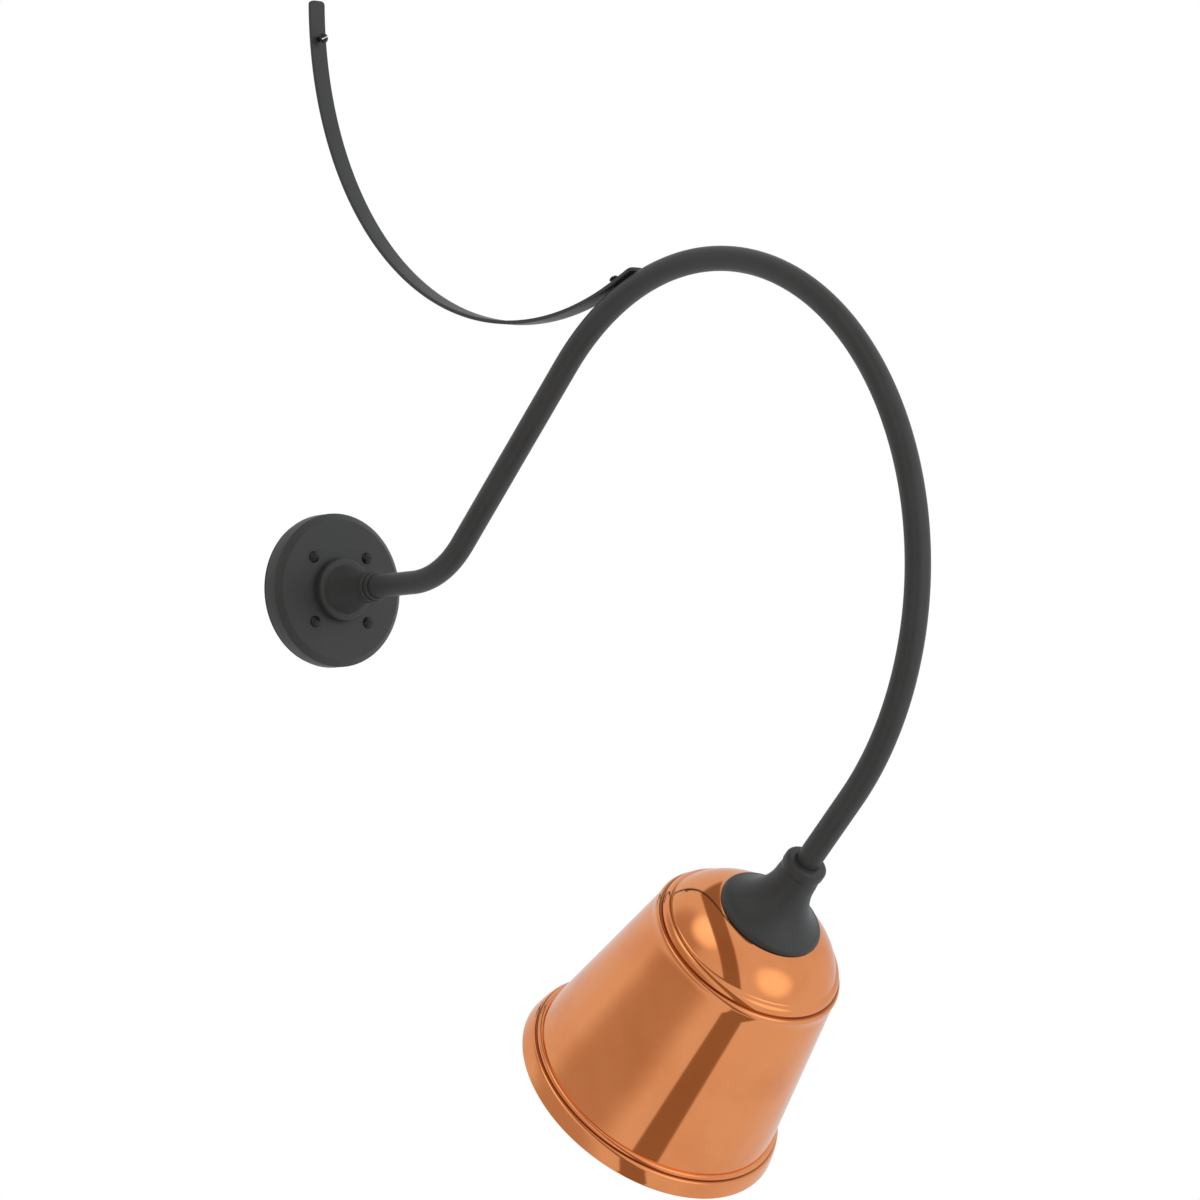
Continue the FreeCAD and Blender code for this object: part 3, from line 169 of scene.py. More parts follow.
class PieceMaker:
    """Turns grids of points into closed meshes, and joins and cuts them."""

    @staticmethod
    def build(name: str, grid: np.ndarray, loop_rows: bool, sharp: float = SHARP) -> Piece:
        """Makes a closed mesh from a grid whose columns join round.

        Each cell of the grid becomes a four-sided face. Rows that have shrunk to a point close the
        ends. Faces are turned outwards after their doubled points are merged.

        Args:
            name: Name of the piece.
            grid: Array (rows, columns, 3) in metres.
            loop_rows: Whether the last row joins the first as well.
            sharp: Angle in degrees above which an edge stays sharp.

        Returns:
            The new object, at the origin.
        """
        rows, columns = grid.shape[:2]
        numbers = np.arange(rows * columns).reshape(rows, columns)
        if loop_rows:
            numbers = np.vstack([numbers, numbers[:1]])
        low, high = numbers[:-1], numbers[1:]
        faces = np.stack([low, np.roll(low, -1, 1), np.roll(high, -1, 1), high], -1).reshape(-1, 4)
        mesh = bpy.data.meshes.new(name)
        mesh.from_pydata(grid.reshape(-1, 3), [], faces.tolist())
        PieceMaker.clean(mesh, sharp)
        piece = bpy.data.objects.new(name, mesh)
        bpy.context.scene.collection.objects.link(piece)
        return piece

    @staticmethod
    def clean(mesh: bpy.types.Mesh, sharp: float) -> None:
        """Merges doubled points, turns the faces outwards and marks the sharp edges.

        Args:
            mesh: Mesh to clean in place.
            sharp: Angle in degrees above which an edge stays sharp.
        """
        work = bmesh.new()
        work.from_mesh(mesh)
        bmesh.ops.remove_doubles(work, verts=work.verts, dist=2e-7)
        bmesh.ops.dissolve_degenerate(work, edges=work.edges, dist=1e-8)
        bmesh.ops.recalc_face_normals(work, faces=work.faces)
        work.to_mesh(mesh)
        work.free()
        mesh.polygons.foreach_set("use_smooth", np.ones(len(mesh.polygons), bool))
        mesh.set_sharp_from_angle(angle=math.radians(sharp))
        mesh.update()

    @staticmethod
    def turn(
        name: str,
        line: np.ndarray,
        spot: Spot,
        sides: int,
        closed: bool = False,
        shape: Shape | None = None,
        sharp: float = SHARP,
    ) -> Piece:
        """Spins a line of (radius, level) about a spot's axis.

        A point of the surface is (radius cos angle, radius sin angle, level), where the radius may
        be changed by a shape of angle, radius and level, such as a thread or a hexagon.

        Args:
            name: Name of the piece.
            line: Array (n, 2) of radius and level in millimetres.
            spot: Where the piece stands.
            sides: Number of steps round.
            closed: Whether the line's last point joins its first, as in a ring.
            shape: Optional change of the radius.
            sharp: Angle in degrees above which an edge stays sharp.

        Returns:
            The new piece.
        """
        angles = np.arange(sides) * math.tau / sides
        radius, angle = np.meshgrid(line[:, 0], angles, indexing="ij")
        level = np.repeat(line[:, 1:], sides, 1)
        if shape is not None:
            radius = shape(angle, radius, level)
        points = np.stack([radius * np.cos(angle), radius * np.sin(angle), level], -1)
        return PieceMaker.build(name, spot.place(points), closed, sharp)

    @staticmethod
    def block(
        name: str, spot: Spot, wide: float, deep: float, low: float, high: float
    ) -> Piece:
        """A plain cutting block, used only to cut a slot and then removed.

        Args:
            name: Name of the block.
            spot: Where it stands.
            wide: Full size across.
            deep: Full size aside.
            low: Level of its foot.
            high: Level of its top.

        Returns:
            The block.
        """
        side = np.array([[-wide, -deep], [wide, -deep], [wide, deep], [-wide, deep]]) / 2
        rows = [(0.0, low), (1.0, low), (1.0, high), (0.0, high)]
        points = np.stack([np.c_[side * k, np.full(4, level)] for k, level in rows])
        return PieceMaker.build(name, spot.place(points), False)

    @staticmethod
    def carve(
        piece: Piece,
        tools: Sequence[Piece],
        joins: Sequence[Piece] = (),
    ) -> None:
        """Joins meshes to a piece, cuts tools out of it and removes both.

        Args:
            piece: Piece to change.
            tools: Closed meshes to take away from it.
            joins: Closed meshes to add to it first.
        """
        for operation, meshes in (("UNION", joins), ("DIFFERENCE", tools)):
            for other in meshes:
                step = piece.modifiers.new(other.name, "BOOLEAN")
                step.object = other
                step.operation = operation
                step.solver = "EXACT"
        graph = bpy.context.evaluated_depsgraph_get()
        mesh = bpy.data.meshes.new_from_object(piece.evaluated_get(graph))
        piece.modifiers.clear()
        piece.data = mesh
        mesh.name = piece.name
        for other in (*joins, *tools):
            bpy.data.objects.remove(other)
        PieceMaker.clean(mesh, SHARP)


# ---------------------------------------------------------------- changes of radius


def fade(level: np.ndarray, low: float, high: float, run: float) -> np.ndarray:
    """A share that rises from 0 at low and falls back to 0 at high, each over the run."""
    return np.clip((level - low) / run, 0, 1) * np.clip((high - level) / run, 0, 1)


def hexagon(corner: float, bore: float) -> Shape:
    """A hexagon's outside round a bore.

    The radius is the smaller of the line's own and the distance to the hexagon's flat, which is
    corner times cos 30 degrees over the cosine of the angle from the middle of that flat.

    Args:
        corner: Distance from the axis to a corner.
        bore: Radius up to which the line is left alone.

    Returns:
        The change of radius.
    """

    def shape(angle: np.ndarray, radius: np.ndarray, level: np.ndarray) -> np.ndarray:
        """Limits the radius to the hexagon."""
        flat = corner * math.cos(math.pi / 6) / np.cos(np.mod(angle, math.pi / 3) - math.pi / 6)
        return np.where(radius > bore, np.minimum(radius, flat), radius)

    return shape


def thread(pitch: float, depth: float, low: float, high: float, limit: float, floor: float) -> Shape:
    """A rounded screw thread between two levels.

    The radius changes by depth times the cosine of (level over pitch less the share of a turn)
    less one, and the thread fades in and out over its first and last millimetre.

    Args:
        pitch: Distance between crests.
        depth: Half the depth of the groove.
        low: Level where it starts.
        high: Level where it ends.
        limit: Radius above which the line is left alone.
        floor: Radius below which the line is left alone.

    Returns:
        The change of radius.
    """

    def shape(angle: np.ndarray, radius: np.ndarray, level: np.ndarray) -> np.ndarray:
        """Adds the thread to the radius."""
        wave = depth * (np.cos(math.tau * level / pitch - angle) - 1) * fade(level, low, high, 1.0)
        return np.where((radius > floor) & (radius < limit), radius + wave, radius)

    return shape


def ribs(count: int, depth: float, low: float, high: float) -> Shape:
    """Finger ribs along a cap: the radius dips by depth between count ribs.

    The hollows fade in and out over 1.5 mm, and a line within 2 mm of the axis is left alone.

    Args:
        count: Number of ribs round.
        depth: Depth of the hollows.
        low: Level where they start.
        high: Level where they end.

    Returns:
        The change of radius.
    """

    def shape(angle: np.ndarray, radius: np.ndarray, level: np.ndarray) -> np.ndarray:
        """Takes the hollows from the radius."""
        hollow = depth * (1 - np.cos(angle * count)) / 2 * fade(level, low, high, 1.5)
        return np.where(radius > 2.0, radius - hollow, radius)

    return shape


# ---------------------------------------------------------------- node building


class Nodes:
    """A small helper that adds and joins shader nodes in one tree."""

    def __init__(self, tree: Tree) -> None:
        """Keeps the tree that the nodes go in."""
        self.tree = tree

    def add(self, kind: str, **values: object) -> bpy.types.Node:
        """Adds a node and sets its plain properties.

        Args:
            kind: Blender's name of the node type.
            **values: Properties of the node, such as operation.

        Returns:
            The new node.
        """
        node = self.tree.nodes.new(kind)
        for name, value in values.items():
            setattr(node, name, value)
        return node

    def feed(self, socket: Socket, source: object) -> None:
        """Joins a socket to another, or gives it a plain value.

        Args:
            socket: The socket that takes it.
            source: Socket or plain value.
        """
        if isinstance(source, Socket):
            self.tree.links.new(source, socket)
        else:
            socket.default_value = source

    def sum(self, operation: str, first: object, second: object = 0.0) -> Socket:
        """One step of arithmetic on two numbers.

        Args:
            operation: Name of the operation.
            first: Socket or number.
            second: Socket or number.

        Returns:
            The result's socket.
        """
        node = self.add("ShaderNodeMath", operation=operation)
        self.feed(node.inputs[0], first)
        self.feed(node.inputs[1], second)
        return node.outputs[0]

    def vector(self, operation: str, first: object, second: object = (0.0, 0.0, 0.0)) -> bpy.types.Node:
        """One step of arithmetic on two directions or places.

        Args:
            operation: Name of the operation.
            first: Socket or plain vector.
            second: Socket or plain vector.

        Returns:
            The node, whose output is Vector, or Value for a length or a dot product.
        """
        node = self.add("ShaderNodeVectorMath", operation=operation)
        self.feed(node.inputs[0], first)
        self.feed(node.inputs[1], second)
        return node

    def spread(
        self, value: object, low: float, high: float, out_low: float = 0.0, out_high: float = 1.0
    ) -> Socket:
        """Maps a number smoothly from one range to another, without going past its ends.

        Args:
            value: Socket of the number.
            low: Start of its range.
            high: End of its range.
            out_low: What the start becomes.
            out_high: What the end becomes.

        Returns:
            The result's socket.
        """
        node = self.add("ShaderNodeMapRange", interpolation_type="SMOOTHSTEP")
        for socket, source in zip(node.inputs[:5], (value, low, high, out_low, out_high)):
            self.feed(socket, source)
        return node.outputs[0]

    def mix(self, share: object, first: object, second: object) -> Socket:
        """Mixes two colours.

        Args:
            share: Share of the second, from 0 to 1.
            first: Socket or colour.
            second: Socket or colour.

        Returns:
            The result's socket.
        """
        node = self.add("ShaderNodeMix", data_type="RGBA")
        self.feed(node.inputs[0], share)
        self.feed(node.inputs[6], first)
        self.feed(node.inputs[7], second)
        return node.outputs[2]

    def noise(self, place: object, scale: object, detail: float) -> Socket:
        """Cloudy noise.

        Args:
            place: Socket of the place.
            scale: Cells to the metre, as a socket or number.
            detail: Number of finer layers.

        Returns:
            The noise's socket.
        """
        node = self.add("ShaderNodeTexNoise")
        self.feed(node.inputs["Vector"], place)
        self.feed(node.inputs["Scale"], scale)
        self.feed(node.inputs["Detail"], detail)
        return node.outputs[0]


class Effects:
    """The shader groups that several finishes share, each built once."""

    @staticmethod
    def start(name: str, inputs: dict[str, str], outputs: Sequence[str]) -> tuple:
        """Opens a new group.

        Args:
            name: Name of the group.
            inputs: Names of what it takes, with their socket types.
            outputs: Names of the numbers that it gives.

        Returns:
            The node helper, the group's input node and its output node.
        """
        tree = bpy.data.node_groups.new(name, "ShaderNodeTree")
        for label, kind in inputs.items():
            tree.interface.new_socket(label, in_out="INPUT", socket_type=kind)
        for label in outputs:
            tree.interface.new_socket(label, in_out="OUTPUT", socket_type="NodeSocketFloat")
        nodes = Nodes(tree)
        return nodes, nodes.add("NodeGroupInput"), nodes.add("NodeGroupOutput")

    @staticmethod
    @cache
    def powder_skin() -> Tree:
        """Powder coat: fine orange peel, faint cloudiness and dust-sized specks.

        Returns:
            The group's tree.
        """
        nodes, given, out = Effects.start(
            "powder_skin", {"Peel": "NodeSocketFloat"}, ("Height", "Cloud", "Speck")
        )
        place = nodes.add("ShaderNodeTexCoord").outputs["Object"]
        peel = nodes.noise(place, 900.0, 2.0)
        grit = nodes.noise(place, 3800.0, 1.0)
        height = nodes.sum("ADD", nodes.sum("MULTIPLY", peel, given.outputs["Peel"]), grit)
        nodes.feed(out.inputs["Height"], height)
        nodes.feed(out.inputs["Cloud"], nodes.noise(place, 26.0, 4.0))
        nodes.feed(out.inputs["Speck"], nodes.spread(nodes.noise(place, 1500.0, 0.0), 0.7, 0.78))
        return nodes.tree

    @staticmethod
    @cache
    def turned_rings() -> Tree:
        """Fine rings left by turning or spinning about an axis.

        The level is the place less the origin, dotted with the axis, in millimetres. Noise along
        the level plus 0.62 of the distance from the origin makes the rings' height, so that they
        show on a flat crown as well, and a slow cloud makes the stain.

        Returns:
            The group's tree.
        """
        nodes, given, out = Effects.start(
            "turned_rings",
            {"Origin": "NodeSocketVector", "Axis": "NodeSocketVector", "Fineness": "NodeSocketFloat"},
            ("Height", "Stain", "Level"),
        )
        place = nodes.add("ShaderNodeTexCoord").outputs["Object"]
        away = nodes.vector("SUBTRACT", place, given.outputs["Origin"]).outputs["Vector"]
        along = nodes.vector("DOT_PRODUCT", away, given.outputs["Axis"]).outputs["Value"]
        distance = nodes.vector("LENGTH", away).outputs["Value"]
        level = nodes.sum("MULTIPLY", along, 1000.0)
        both = nodes.sum("ADD", level, nodes.sum("MULTIPLY", distance, 620.0))
        ring_place = nodes.add("ShaderNodeCombineXYZ")
        nodes.feed(ring_place.inputs[0], nodes.sum("MULTIPLY", both, given.outputs["Fineness"]))
        nodes.feed(out.inputs["Height"], nodes.noise(ring_place.outputs[0], 1.0, 3.0))
        nodes.feed(out.inputs["Stain"], nodes.noise(place, 18.0, 5.0))
        nodes.feed(out.inputs["Level"], level)
        return nodes.tree

    @staticmethod
    @cache
    def metal_grain() -> Tree:
        """Short scratches and a cloudy tone on small plated or bare parts.

        Returns:
            The group's tree.
        """
        nodes, given, out = Effects.start(
            "metal_grain", {"Fineness": "NodeSocketFloat"}, ("Height", "Tone")
        )
        place = nodes.add("ShaderNodeTexCoord").outputs["Object"]
        stretch = nodes.add("ShaderNodeMapping")
        nodes.feed(stretch.inputs["Vector"], place)
        stretch.inputs["Rotation"].default_value = (0.3, 0.5, 0.9)
        stretch.inputs["Scale"].default_value = (1.0, 9.0, 1.0)
        nodes.feed(
            out.inputs["Height"], nodes.noise(stretch.outputs[0], given.outputs["Fineness"], 2.0)
        )
        nodes.feed(out.inputs["Tone"], nodes.noise(place, 240.0, 3.0))
        return nodes.tree


# ---------------------------------------------------------------- finishes


class Look(Enum):
    """Names of the finishes."""

    BLACK_COAT = "black_powder_coat"
    COPPER = "spun_copper"
    BLACK_SCREW = "black_oxide_steel"
    SLOT_GLINT_STEEL = "slot_glint_steel"
    ZINC = "zinc_plate"
    BRASS = "plain_brass"
    GREEN_BRASS = "green_dyed_screw"
    RUBBER = "black_rubber"
    NYLON = "black_nylon"
    PORCELAIN = "glazed_porcelain"
    BLACK_WIRE = "black_wire_jacket"
    WHITE_WIRE = "white_wire_jacket"
    GREEN_WIRE = "green_wire_jacket"
    CAP = "orange_wire_cap"
    GLASS = "clear_lamp_glass"
    STEM_GLASS = "lamp_stem_glass"
    BLACK_GLASS = "black_glass_insulator"
    SOLDER = "solder"
    BASE_METAL = "lamp_base_metal"
    PHOSPHOR = "filament_phosphor"


Colour = tuple[float, float, float, float]


def tint(red: float, green: float, blue: float) -> Colour:
    """A colour from its three linear parts."""
    return (red, green, blue, 1.0)


def grey(level: float) -> Colour:
    """A neutral tone."""
    return tint(level, level, level)


@dataclass(frozen=True)
class Finish:
    """A finish with its main colour, its second tone and how it takes the light."""

    look: Look
    colour: Colour
    second: Colour
    roughness: Pair
    metallic: float = 0.0
    coat: float = 0.0
    relief: float = 0.00002
    specular: float = 0.5

    def material(self) -> bpy.types.Material:
        """Makes the material, or gives back the one already made.

        Returns:
            The material.
        """
        name = self.look.value
        if name in bpy.data.materials:
            return bpy.data.materials[name]
        made = bpy.data.materials.new(name)
        made.use_nodes = True
        nodes = Nodes(made.node_tree)
        shader = made.node_tree.nodes["Principled BSDF"]
        shader.inputs["Metallic"].default_value = self.metallic
        shader.inputs["Coat Weight"].default_value = self.coat
        shader.inputs["Specular IOR Level"].default_value = self.specular
        height = self.dress(nodes, shader)
        bump = nodes.add("ShaderNodeBump")
        bump.inputs["Strength"].default_value = 1.0
        bump.inputs["Distance"].default_value = self.relief
        nodes.feed(bump.inputs["Height"], height)
        nodes.feed(shader.inputs["Normal"], bump.outputs[0])
        return made

    def tones(self, nodes: Nodes, shader: bpy.types.Node, cloud: object) -> Socket:
        """Spreads the two colours and the two roughnesses over the surface.

        Args:
            nodes: Helper for the material's tree.
            shader: The material's shader.
            cloud: Socket of the cloudy mask that shares them out.

        Returns:
            Socket of the colour.
        """
        colour = nodes.mix(nodes.spread(cloud, 0.35, 0.65), self.colour, self.second)
        nodes.feed(shader.inputs["Base Color"], colour)
        nodes.feed(shader.inputs["Roughness"], nodes.spread(cloud, 0.3, 0.7, *self.roughness))
        return colour

    def dress(self, nodes: Nodes, shader: bpy.types.Node) -> Socket:
        """Adds the surface detail of plated and bare metal.

        Args:
            nodes: Helper for the material's tree.
            shader: The material's shader.

        Returns:
            The height that the bump takes.
        """
        grain = nodes.add("ShaderNodeGroup", node_tree=Effects.metal_grain())
        grain.inputs["Fineness"].default_value = 1400.0
        self.tones(nodes, shader, grain.outputs["Tone"])
        return grain.outputs["Height"]


@dataclass(frozen=True)
class Metal(Finish):
    """Plated and bare metal."""

    metallic: float = 1.0
    relief: float = 0.000008


@dataclass(frozen=True)
class Coated(Finish):
    """Powder coat, plastic, rubber, glaze and phosphor: a skin with peel and specks."""

    peel: float = 1.0
    specks: float = 0.1

    def dress(self, nodes: Nodes, shader: bpy.types.Node) -> Socket:
        """Adds the skin's peel, clouds and specks.

        Args:
            nodes: Helper for the material's tree.
            shader: The material's shader.

        Returns:
            The height that the bump takes.
        """
        skin = nodes.add("ShaderNodeGroup", node_tree=Effects.powder_skin())
        skin.inputs["Peel"].default_value = self.peel
        plain = self.tones(nodes, shader, skin.outputs["Cloud"])
        light = tint(*(min(1.0, part * 1.6 + 0.01) for part in self.second[:3]))
        speck = nodes.sum("MULTIPLY", skin.outputs["Speck"], self.specks)
        nodes.feed(shader.inputs["Base Color"], nodes.mix(speck, plain, light))
        return skin.outputs["Height"]


@dataclass(frozen=True)
class Spun(Finish):
    """Spun and polished copper: fine rings, faint tarnish and painted shade in the grooves."""

    origin: Triple = (0.0, 0.0, 0.0)
    axis: Triple = (0.0, 0.0, 1.0)
    grooves: tuple[float, ...] = ()
    # Colour of the painted shade that darkens the grooves' hollows.
    groove_shade: Colour = (0.1, 0.03, 0.012, 1.0)

    def dress(self, nodes: Nodes, shader: bpy.types.Node) -> Socket:
        """Adds the rings, the tarnish and the painted shade in the grooves.

        A groove's painted shade is strongest at its level and falls smoothly to nothing 0.55 mm away.

        Args:
            nodes: Helper for the material's tree.
            shader: The material's shader.

        Returns:
            The height that the bump takes.
        """
        rings = nodes.add("ShaderNodeGroup", node_tree=Effects.turned_rings())
        rings.inputs["Origin"].default_value = self.origin
        rings.inputs["Axis"].default_value = self.axis
        rings.inputs["Fineness"].default_value = 2.6
        stain = nodes.spread(rings.outputs["Stain"], 0.42, 0.72)
        dark: object = 0.0
        # Painted shade: near each groove level the colour darkens, standing in for the shade in the
        # hollow, and the roughness rises there too.
        for level in self.grooves:
            off = nodes.sum("ABSOLUTE", nodes.sum("SUBTRACT", rings.outputs["Level"], level))
            dark = nodes.sum("MAXIMUM", dark, nodes.spread(off, 0.1, 0.55, 0.6, 0.0))
        plain = nodes.mix(stain, self.colour, self.second)
        nodes.feed(shader.inputs["Base Color"], nodes.mix(dark, plain, self.groove_shade))
        rough = nodes.spread(rings.outputs["Height"], 0.3, 0.7, *self.roughness)
        rough = nodes.sum("ADD", rough, nodes.sum("MULTIPLY", dark, 0.2))
        nodes.feed(shader.inputs["Roughness"], rough)
        return rings.outputs["Height"]


@dataclass(frozen=True)
class Clear(Finish):
    """Blown glass with a faint cloudiness."""

    def dress(self, nodes: Nodes, shader: bpy.types.Node) -> Socket:
        """Sets the glass and adds its faint unevenness.

        Args:
            nodes: Helper for the material's tree.
            shader: The material's shader.

        Returns:
            The height that the bump takes.
        """
        shader.inputs["Transmission Weight"].default_value = 1.0
        shader.inputs["IOR"].default_value = 1.5
        place = nodes.add("ShaderNodeTexCoord").outputs["Object"]
        cloud = nodes.noise(place, 45.0, 2.0)
        self.tones(nodes, shader, cloud)
        return cloud


# ---------------------------------------------------------------- the finishes in use

LAMP_AXIS = (0.0, 0.741976, -0.670427)
LAMP_START = (0.0, -643.171, -189.098)
BLACK_COAT = Coated(
    Look.BLACK_COAT,
    tint(0.042, 0.042, 0.0423),
    tint(0.047, 0.047, 0.0473),
    (0.38, 0.48),
    specular=0.34,
    peel=2.0,
)
COPPER = Spun(
    Look.COPPER,
    tint(0.95, 0.35, 0.135),
    tint(0.87, 0.3, 0.11),
    (0.06, 0.1),
    metallic=1.0,
    relief=0.0000015,
    origin=tuple(part * MM for part in LAMP_START),
    axis=LAMP_AXIS,
    # Levels of the grooves that get painted shade.
    grooves=(156.68, 306.68),
)
BLACK_SCREW = Finish(
    Look.BLACK_SCREW, tint(0.008, 0.008, 0.009), grey(0.014), (0.3, 0.42), relief=0.00001, specular=0.4
)
# Bright bare steel for a screw's slot floor: a painted highlight for the light that the slot catches.
SLOT_GLINT_STEEL = Metal(Look.SLOT_GLINT_STEEL, tint(0.92, 0.92, 0.9), tint(0.8, 0.8, 0.78), (0.3, 0.45))
ZINC = Metal(Look.ZINC, tint(0.58, 0.58, 0.56), tint(0.47, 0.48, 0.47), (0.28, 0.45), relief=0.00001)
BRASS = Metal(Look.BRASS, tint(0.75, 0.53, 0.22), tint(0.6, 0.4, 0.16), (0.22, 0.4))
GREEN_BRASS = Metal(
    Look.GREEN_BRASS, tint(0.06, 0.3, 0.1), tint(0.1, 0.38, 0.14), (0.3, 0.45), metallic=0.8
)
SOLDER = Metal(Look.SOLDER, tint(0.5, 0.5, 0.49), grey(0.38), (0.3, 0.5), relief=0.00004)
BASE_METAL = Metal(
    Look.BASE_METAL, tint(0.72, 0.72, 0.71), tint(0.62, 0.62, 0.61), (0.2, 0.32), relief=0.000006
)
RUBBER = Coated(Look.RUBBER, grey(0.012), grey(0.02), (0.65, 0.8), specks=0.5)
NYLON = Coated(Look.NYLON, tint(0.02, 0.02, 0.021), tint(0.03, 0.03, 0.031), (0.4, 0.55))
PORCELAIN = Coated(
    Look.PORCELAIN,
    tint(0.86, 0.85, 0.8),
    tint(0.78, 0.77, 0.72),
    (0.12, 0.22),
    coat=0.6,
    relief=0.00001,
    specks=0.0,
)
BLACK_WIRE = Coated(Look.BLACK_WIRE, grey(0.015), grey(0.022), (0.4, 0.5))
WHITE_WIRE = Coated(
    Look.WHITE_WIRE, tint(0.8, 0.8, 0.76), tint(0.7, 0.7, 0.66), (0.4, 0.5), specks=0.0
)
GREEN_WIRE = Coated(Look.GREEN_WIRE, tint(0.02, 0.22, 0.06), tint(0.03, 0.28, 0.08), (0.4, 0.5))
CAP = Coated(Look.CAP, tint(0.6, 0.16, 0.02), tint(0.7, 0.2, 0.03), (0.35, 0.45))
BLACK_GLASS = Coated(
    Look.BLACK_GLASS, tint(0.012, 0.012, 0.016), tint(0.02, 0.02, 0.026), (0.1, 0.2), specks=0.0
)
GLASS = Clear(Look.GLASS, grey(0.98), tint(0.95, 0.96, 0.96), (0.0, 0.01), relief=0.000004)
STEM_GLASS = Clear(
    Look.STEM_GLASS, tint(0.95, 0.96, 0.95), tint(0.9, 0.92, 0.9), (0.01, 0.03), relief=0.00001
)
PHOSPHOR = Coated(
    Look.PHOSPHOR,
    tint(0.9, 0.55, 0.08),
    tint(0.95, 0.65, 0.14),
    (0.6, 0.75),
    relief=0.00003,
    peel=4.0,
    specks=0.0,
)


# ---------------------------------------------------------------- assemblies


def outward_wall(across: float = 0.0, up: float = 0.0) -> Spot:
    """A spot on the wall whose axis comes straight out of it, with aside pointing up."""
    return Spot((across, 0.0, up), (0.0, -1.0, 0.0))


LAMP_SPOT = Spot(LAMP_START, LAMP_AXIS)


@dataclass(frozen=True)
class RoundScrew:
    """Sizes of a slotted round-head screw: (radius, length) of its parts, its slot and thread."""

    head: Pair
    shank: Pair
    shoulder: Pair = (0.0, 0.0)
    slot_width: float = 1.2
    slot_depth: float = 1.3
    pitch: float = 1.1
    groove: float = 0.16
    row_step: float = 0.16
    run_out: float = 0.2
    side_share: float = 0.18
    foot_share: float = 0.55

    def line(self) -> np.ndarray:
        """The screw's outline: blunt foot, threaded shank, shoulder and domed head.

        The dome is an arc from the side of the head to its top, whose radius is the square of the
        head's radius plus the square of the rise, over twice the rise.

        Returns:
            Array of (radius, level), where the underside of the head is level 0.
        """
        (radius, height), (core, length) = self.head, self.shank
        side = height * self.side_share
        rise = height - side
        dome = arc((radius, side), (0.0, height), (radius**2 + rise**2) / (2 * rise), 14)
        levels = np.arange(*self.threaded(), self.row_step)
        top = [(core, 0.0)]
        if self.shoulder[1]:
            top = [(self.shoulder[0], self.threaded()[1]), (self.shoulder[0], 0.0)]
        foot = [(0.0, -length), (core * self.foot_share, -length)]
        rows = np.c_[np.full(len(levels), core), levels]
        return np.concatenate([foot, rows, top, [(radius, 0.0)], dome])

    def threaded(self) -> Pair:
        """The levels between which the shank carries its thread."""
        high = self.shoulder[1] or self.run_out
        return -self.shank[1] + self.shank[0], -high


PLATE_SCREW = RoundScrew(head=(4.7, 3.5), shank=(2.1, 45.8))
ARM_SCREW = RoundScrew(head=(4.1, 3.0), shank=(2.5, 12.5))
WALL_SCREW = RoundScrew(head=(4.1, 3.0), shank=(2.1, 16.7), shoulder=(2.3, 11.7))
GRUB_LINE = ((0, 9.575), (1.9, 9.575), (2.5, 10.1), (2.5, 14.7), (2.2, 15.075), (0, 15.075))
GRUB_SOCKET = ((0, 12.7), (1.6, 12.7), (1.6, 16.0), (0, 16.0))
GRUB_SOCKET_CORNER = 1.5
GRUB_HOLE = (2.55, 6.0, 24.0)


